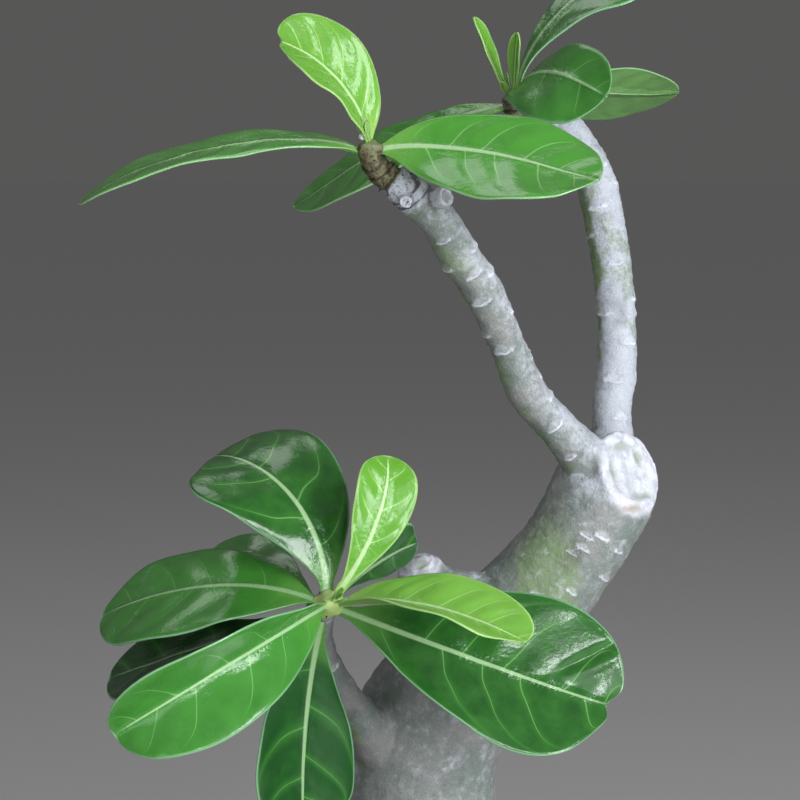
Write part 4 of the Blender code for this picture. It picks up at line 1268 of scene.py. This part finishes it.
rim = inner_wall(SOIL_TOP) - 0.2
neck = 35.0           # just inside the trunk's skin, so that the bed closes round it
bed_outline = [(0, POT_FLOOR + 0.3), (inner_wall(POT_FLOOR) - POT_CORNER - 0.5, POT_FLOOR + 0.3),
               (inner_wall(POT_FLOOR + POT_CORNER) - 0.5, POT_FLOOR + POT_CORNER), (rim, SOIL_TOP - 3)]
bed_outline += [(radius, SOIL_TOP) for radius in np.linspace(rim, neck, BED_RINGS)]
bed_outline += [(neck, SOIL_TOP - 6), (0, SOIL_TOP - 6)]
bed = turned(bed_outline, 240)
for vert in bed.verts:
    if abs(vert.co.z - SOIL_TOP) < 0.01:
        vert.co.z = bed_height(vert.co.x, vert.co.y)
soil = add_piece("soil_bed", bed, ["soil"])

# %% Scatter the grit
draw = np.random.default_rng(7)
ROOM = (37.5, 68.0)   # nearest and farthest a stone's middle lies from the pot's axis
SUNK = 0.25           # a stone's middle stands this share of its radius above the bed
grit = bmesh.new()
tints = []
for _ in range(STONES):
    distance = (draw.uniform(ROOM[0] ** 2, ROOM[1] ** 2)) ** 0.5
    angle = draw.uniform(0, 2 * pi)
    x, y = distance * cos(angle), distance * sin(angle)
    size = 0.7 + 1.1 * draw.random() ** 2
    stone = bmesh.ops.create_icosphere(grit, subdivisions=1, radius=size)["verts"]
    for vert in stone:
        vert.co *= draw.uniform(0.75, 1.15)
    spin = Matrix.Rotation(draw.uniform(0, pi), 4, Vector(draw.normal(size=3)).normalized())
    flat = Matrix.Diagonal((draw.uniform(0.8, 1.3), 1, draw.uniform(0.6, 0.9), 1))
    sunk = Matrix.Translation((x, y, bed_height(x, y) + SUNK * size))
    bmesh.ops.transform(grit, matrix=sunk @ flat @ spin, verts=stone)
    tints += [draw.random()] * len(stone)
stones = add_piece("soil_grit", grit)
stones.data.shade_flat()
write_attribute(stones, "tint", np.array(tints))

# %% Paint for the soil and the grit
earth = new_material("compost", Roughness=0.95)
tree = earth.node_tree
colour = painted((0.018, 0.011, 0.007),
                 (fade(speckle(tree, 2.2, 4.0, 0.7), 0.38, 0.62), (0.075, 0.048, 0.030)),
                 (fade(speckle(tree, 0.9, 2.0), 0.62, 0.70) * 0.7, (0.20, 0.14, 0.085)))
cover(earth, colour, speckle(tree, 1.0, 5.0, 0.7), 0.8)
soil.data.materials.append(earth)

pebble = new_material("grit", Roughness=0.85)
tree = pebble.node_tree
tint = add_node(tree, "ShaderNodeAttribute", output="Fac", attribute_name="tint")
stone = add_node(tree, "ShaderNodeValToRGB", {"Fac": tint})
ramp = stone.socket.node.color_ramp
ramp.interpolation = "CONSTANT"
for place_on_ramp, stone_colour in ((0.30, (0.17, 0.060, 0.040, 1)), (0.52, (0.30, 0.23, 0.16, 1)),
                                    (0.74, (0.46, 0.43, 0.38, 1)), (0.90, (0.10, 0.085, 0.075, 1))):
    ramp.elements.new(place_on_ramp).color = stone_colour
ramp.elements[0].color = (0.050, 0.034, 0.024, 1)
ramp.elements[-1].color = (0.62, 0.60, 0.55, 1)
ramp.elements[-1].position = 0.96
colour = painted(stone, (fade(speckle(tree, 0.7, 3.0), 0.40, 0.65), (0.09, 0.065, 0.045)))
cover(pebble, colour, speckle(tree, 0.5, 3.0), 0.2)
stones.data.materials.append(pebble)

# %% [markdown]
# ## The stage
# A plain pale floor and studio light, with the camera where the photographer stood: a long lens, level with
# the branches and looking down a little. A tall softbox on the right is the key, a small one in front puts
# the glints on the leaves, and a wide one on the left and one above fill the shade. Here sizes are in metres.

# %% Floor, light and camera
FLOOR_SIZE = 30.0
TARGET = Vector((-6.4, 0, 270)) * MM
CAMERA_DISTANCE = 0.750
CAMERA_ELEVATION = 6.0
LENS = 105.0
COOL = (0.96, 0.98, 1.0)

floor_bm = bmesh.new()
bmesh.ops.create_circle(floor_bm, cap_ends=True, segments=96, radius=FLOOR_SIZE)
floor = to_object("floor", floor_bm)
floor.data.materials.append(new_material("pale_floor", Base_Color=(0.50, 0.495, 0.50, 1), Roughness=0.9))


def add_softbox(name, at, width, height, watts, colour=(1, 1, 1)):
    """A rectangular area light that faces the middle of the plant."""
    data = bpy.data.lights.new(name, "AREA")
    data.shape = "RECTANGLE"
    data.size = width
    data.size_y = height
    data.energy = watts
    data.color = colour
    lamp = bpy.data.objects.new(name, data)
    lamp.location = at
    lamp.rotation_euler = (TARGET - lamp.location).to_track_quat("-Z", "Y").to_euler()
    bpy.context.scene.collection.objects.link(lamp)


add_softbox("key_light", (0.832, -0.868, 0.500), 0.42, 1.10, 17.5, COOL)
add_softbox("front_light", (0.317, -1.128, 0.52), 0.22, 0.22, 3, COOL)
add_softbox("fill_light", (-0.30, -1.20, 0.50), 1.0, 0.8, 4.2, (0.97, 0.98, 1.0))
add_softbox("top_light", (-0.254, 0.439, 1.36), 0.50, 0.50, 1.6)
world = bpy.data.worlds.new("studio")
world.use_nodes = True
sky = world.node_tree
upward = split(add_node(sky, "ShaderNodeTexCoord", output="Generated"))[2]
glow = painted((0.097, 0.095, 0.094), (fade(upward, 0.1, 0.9), (0.213, 0.211, 0.211)))
sky.links.new(glow.socket, sky.nodes["Background"].inputs["Color"])
bpy.context.scene.world = world

camera = bpy.data.objects.new("camera", bpy.data.cameras.new("camera"))
camera.data.lens = LENS
tilt = radians(CAMERA_ELEVATION)
camera.location = TARGET + CAMERA_DISTANCE * Vector((0, -cos(tilt), sin(tilt)))
camera.rotation_euler = (TARGET - camera.location).to_track_quat("-Z", "Y").to_euler()
bpy.context.scene.collection.objects.link(camera)
bpy.context.scene.camera = camera
bpy.context.scene.view_settings.view_transform = "Standard"
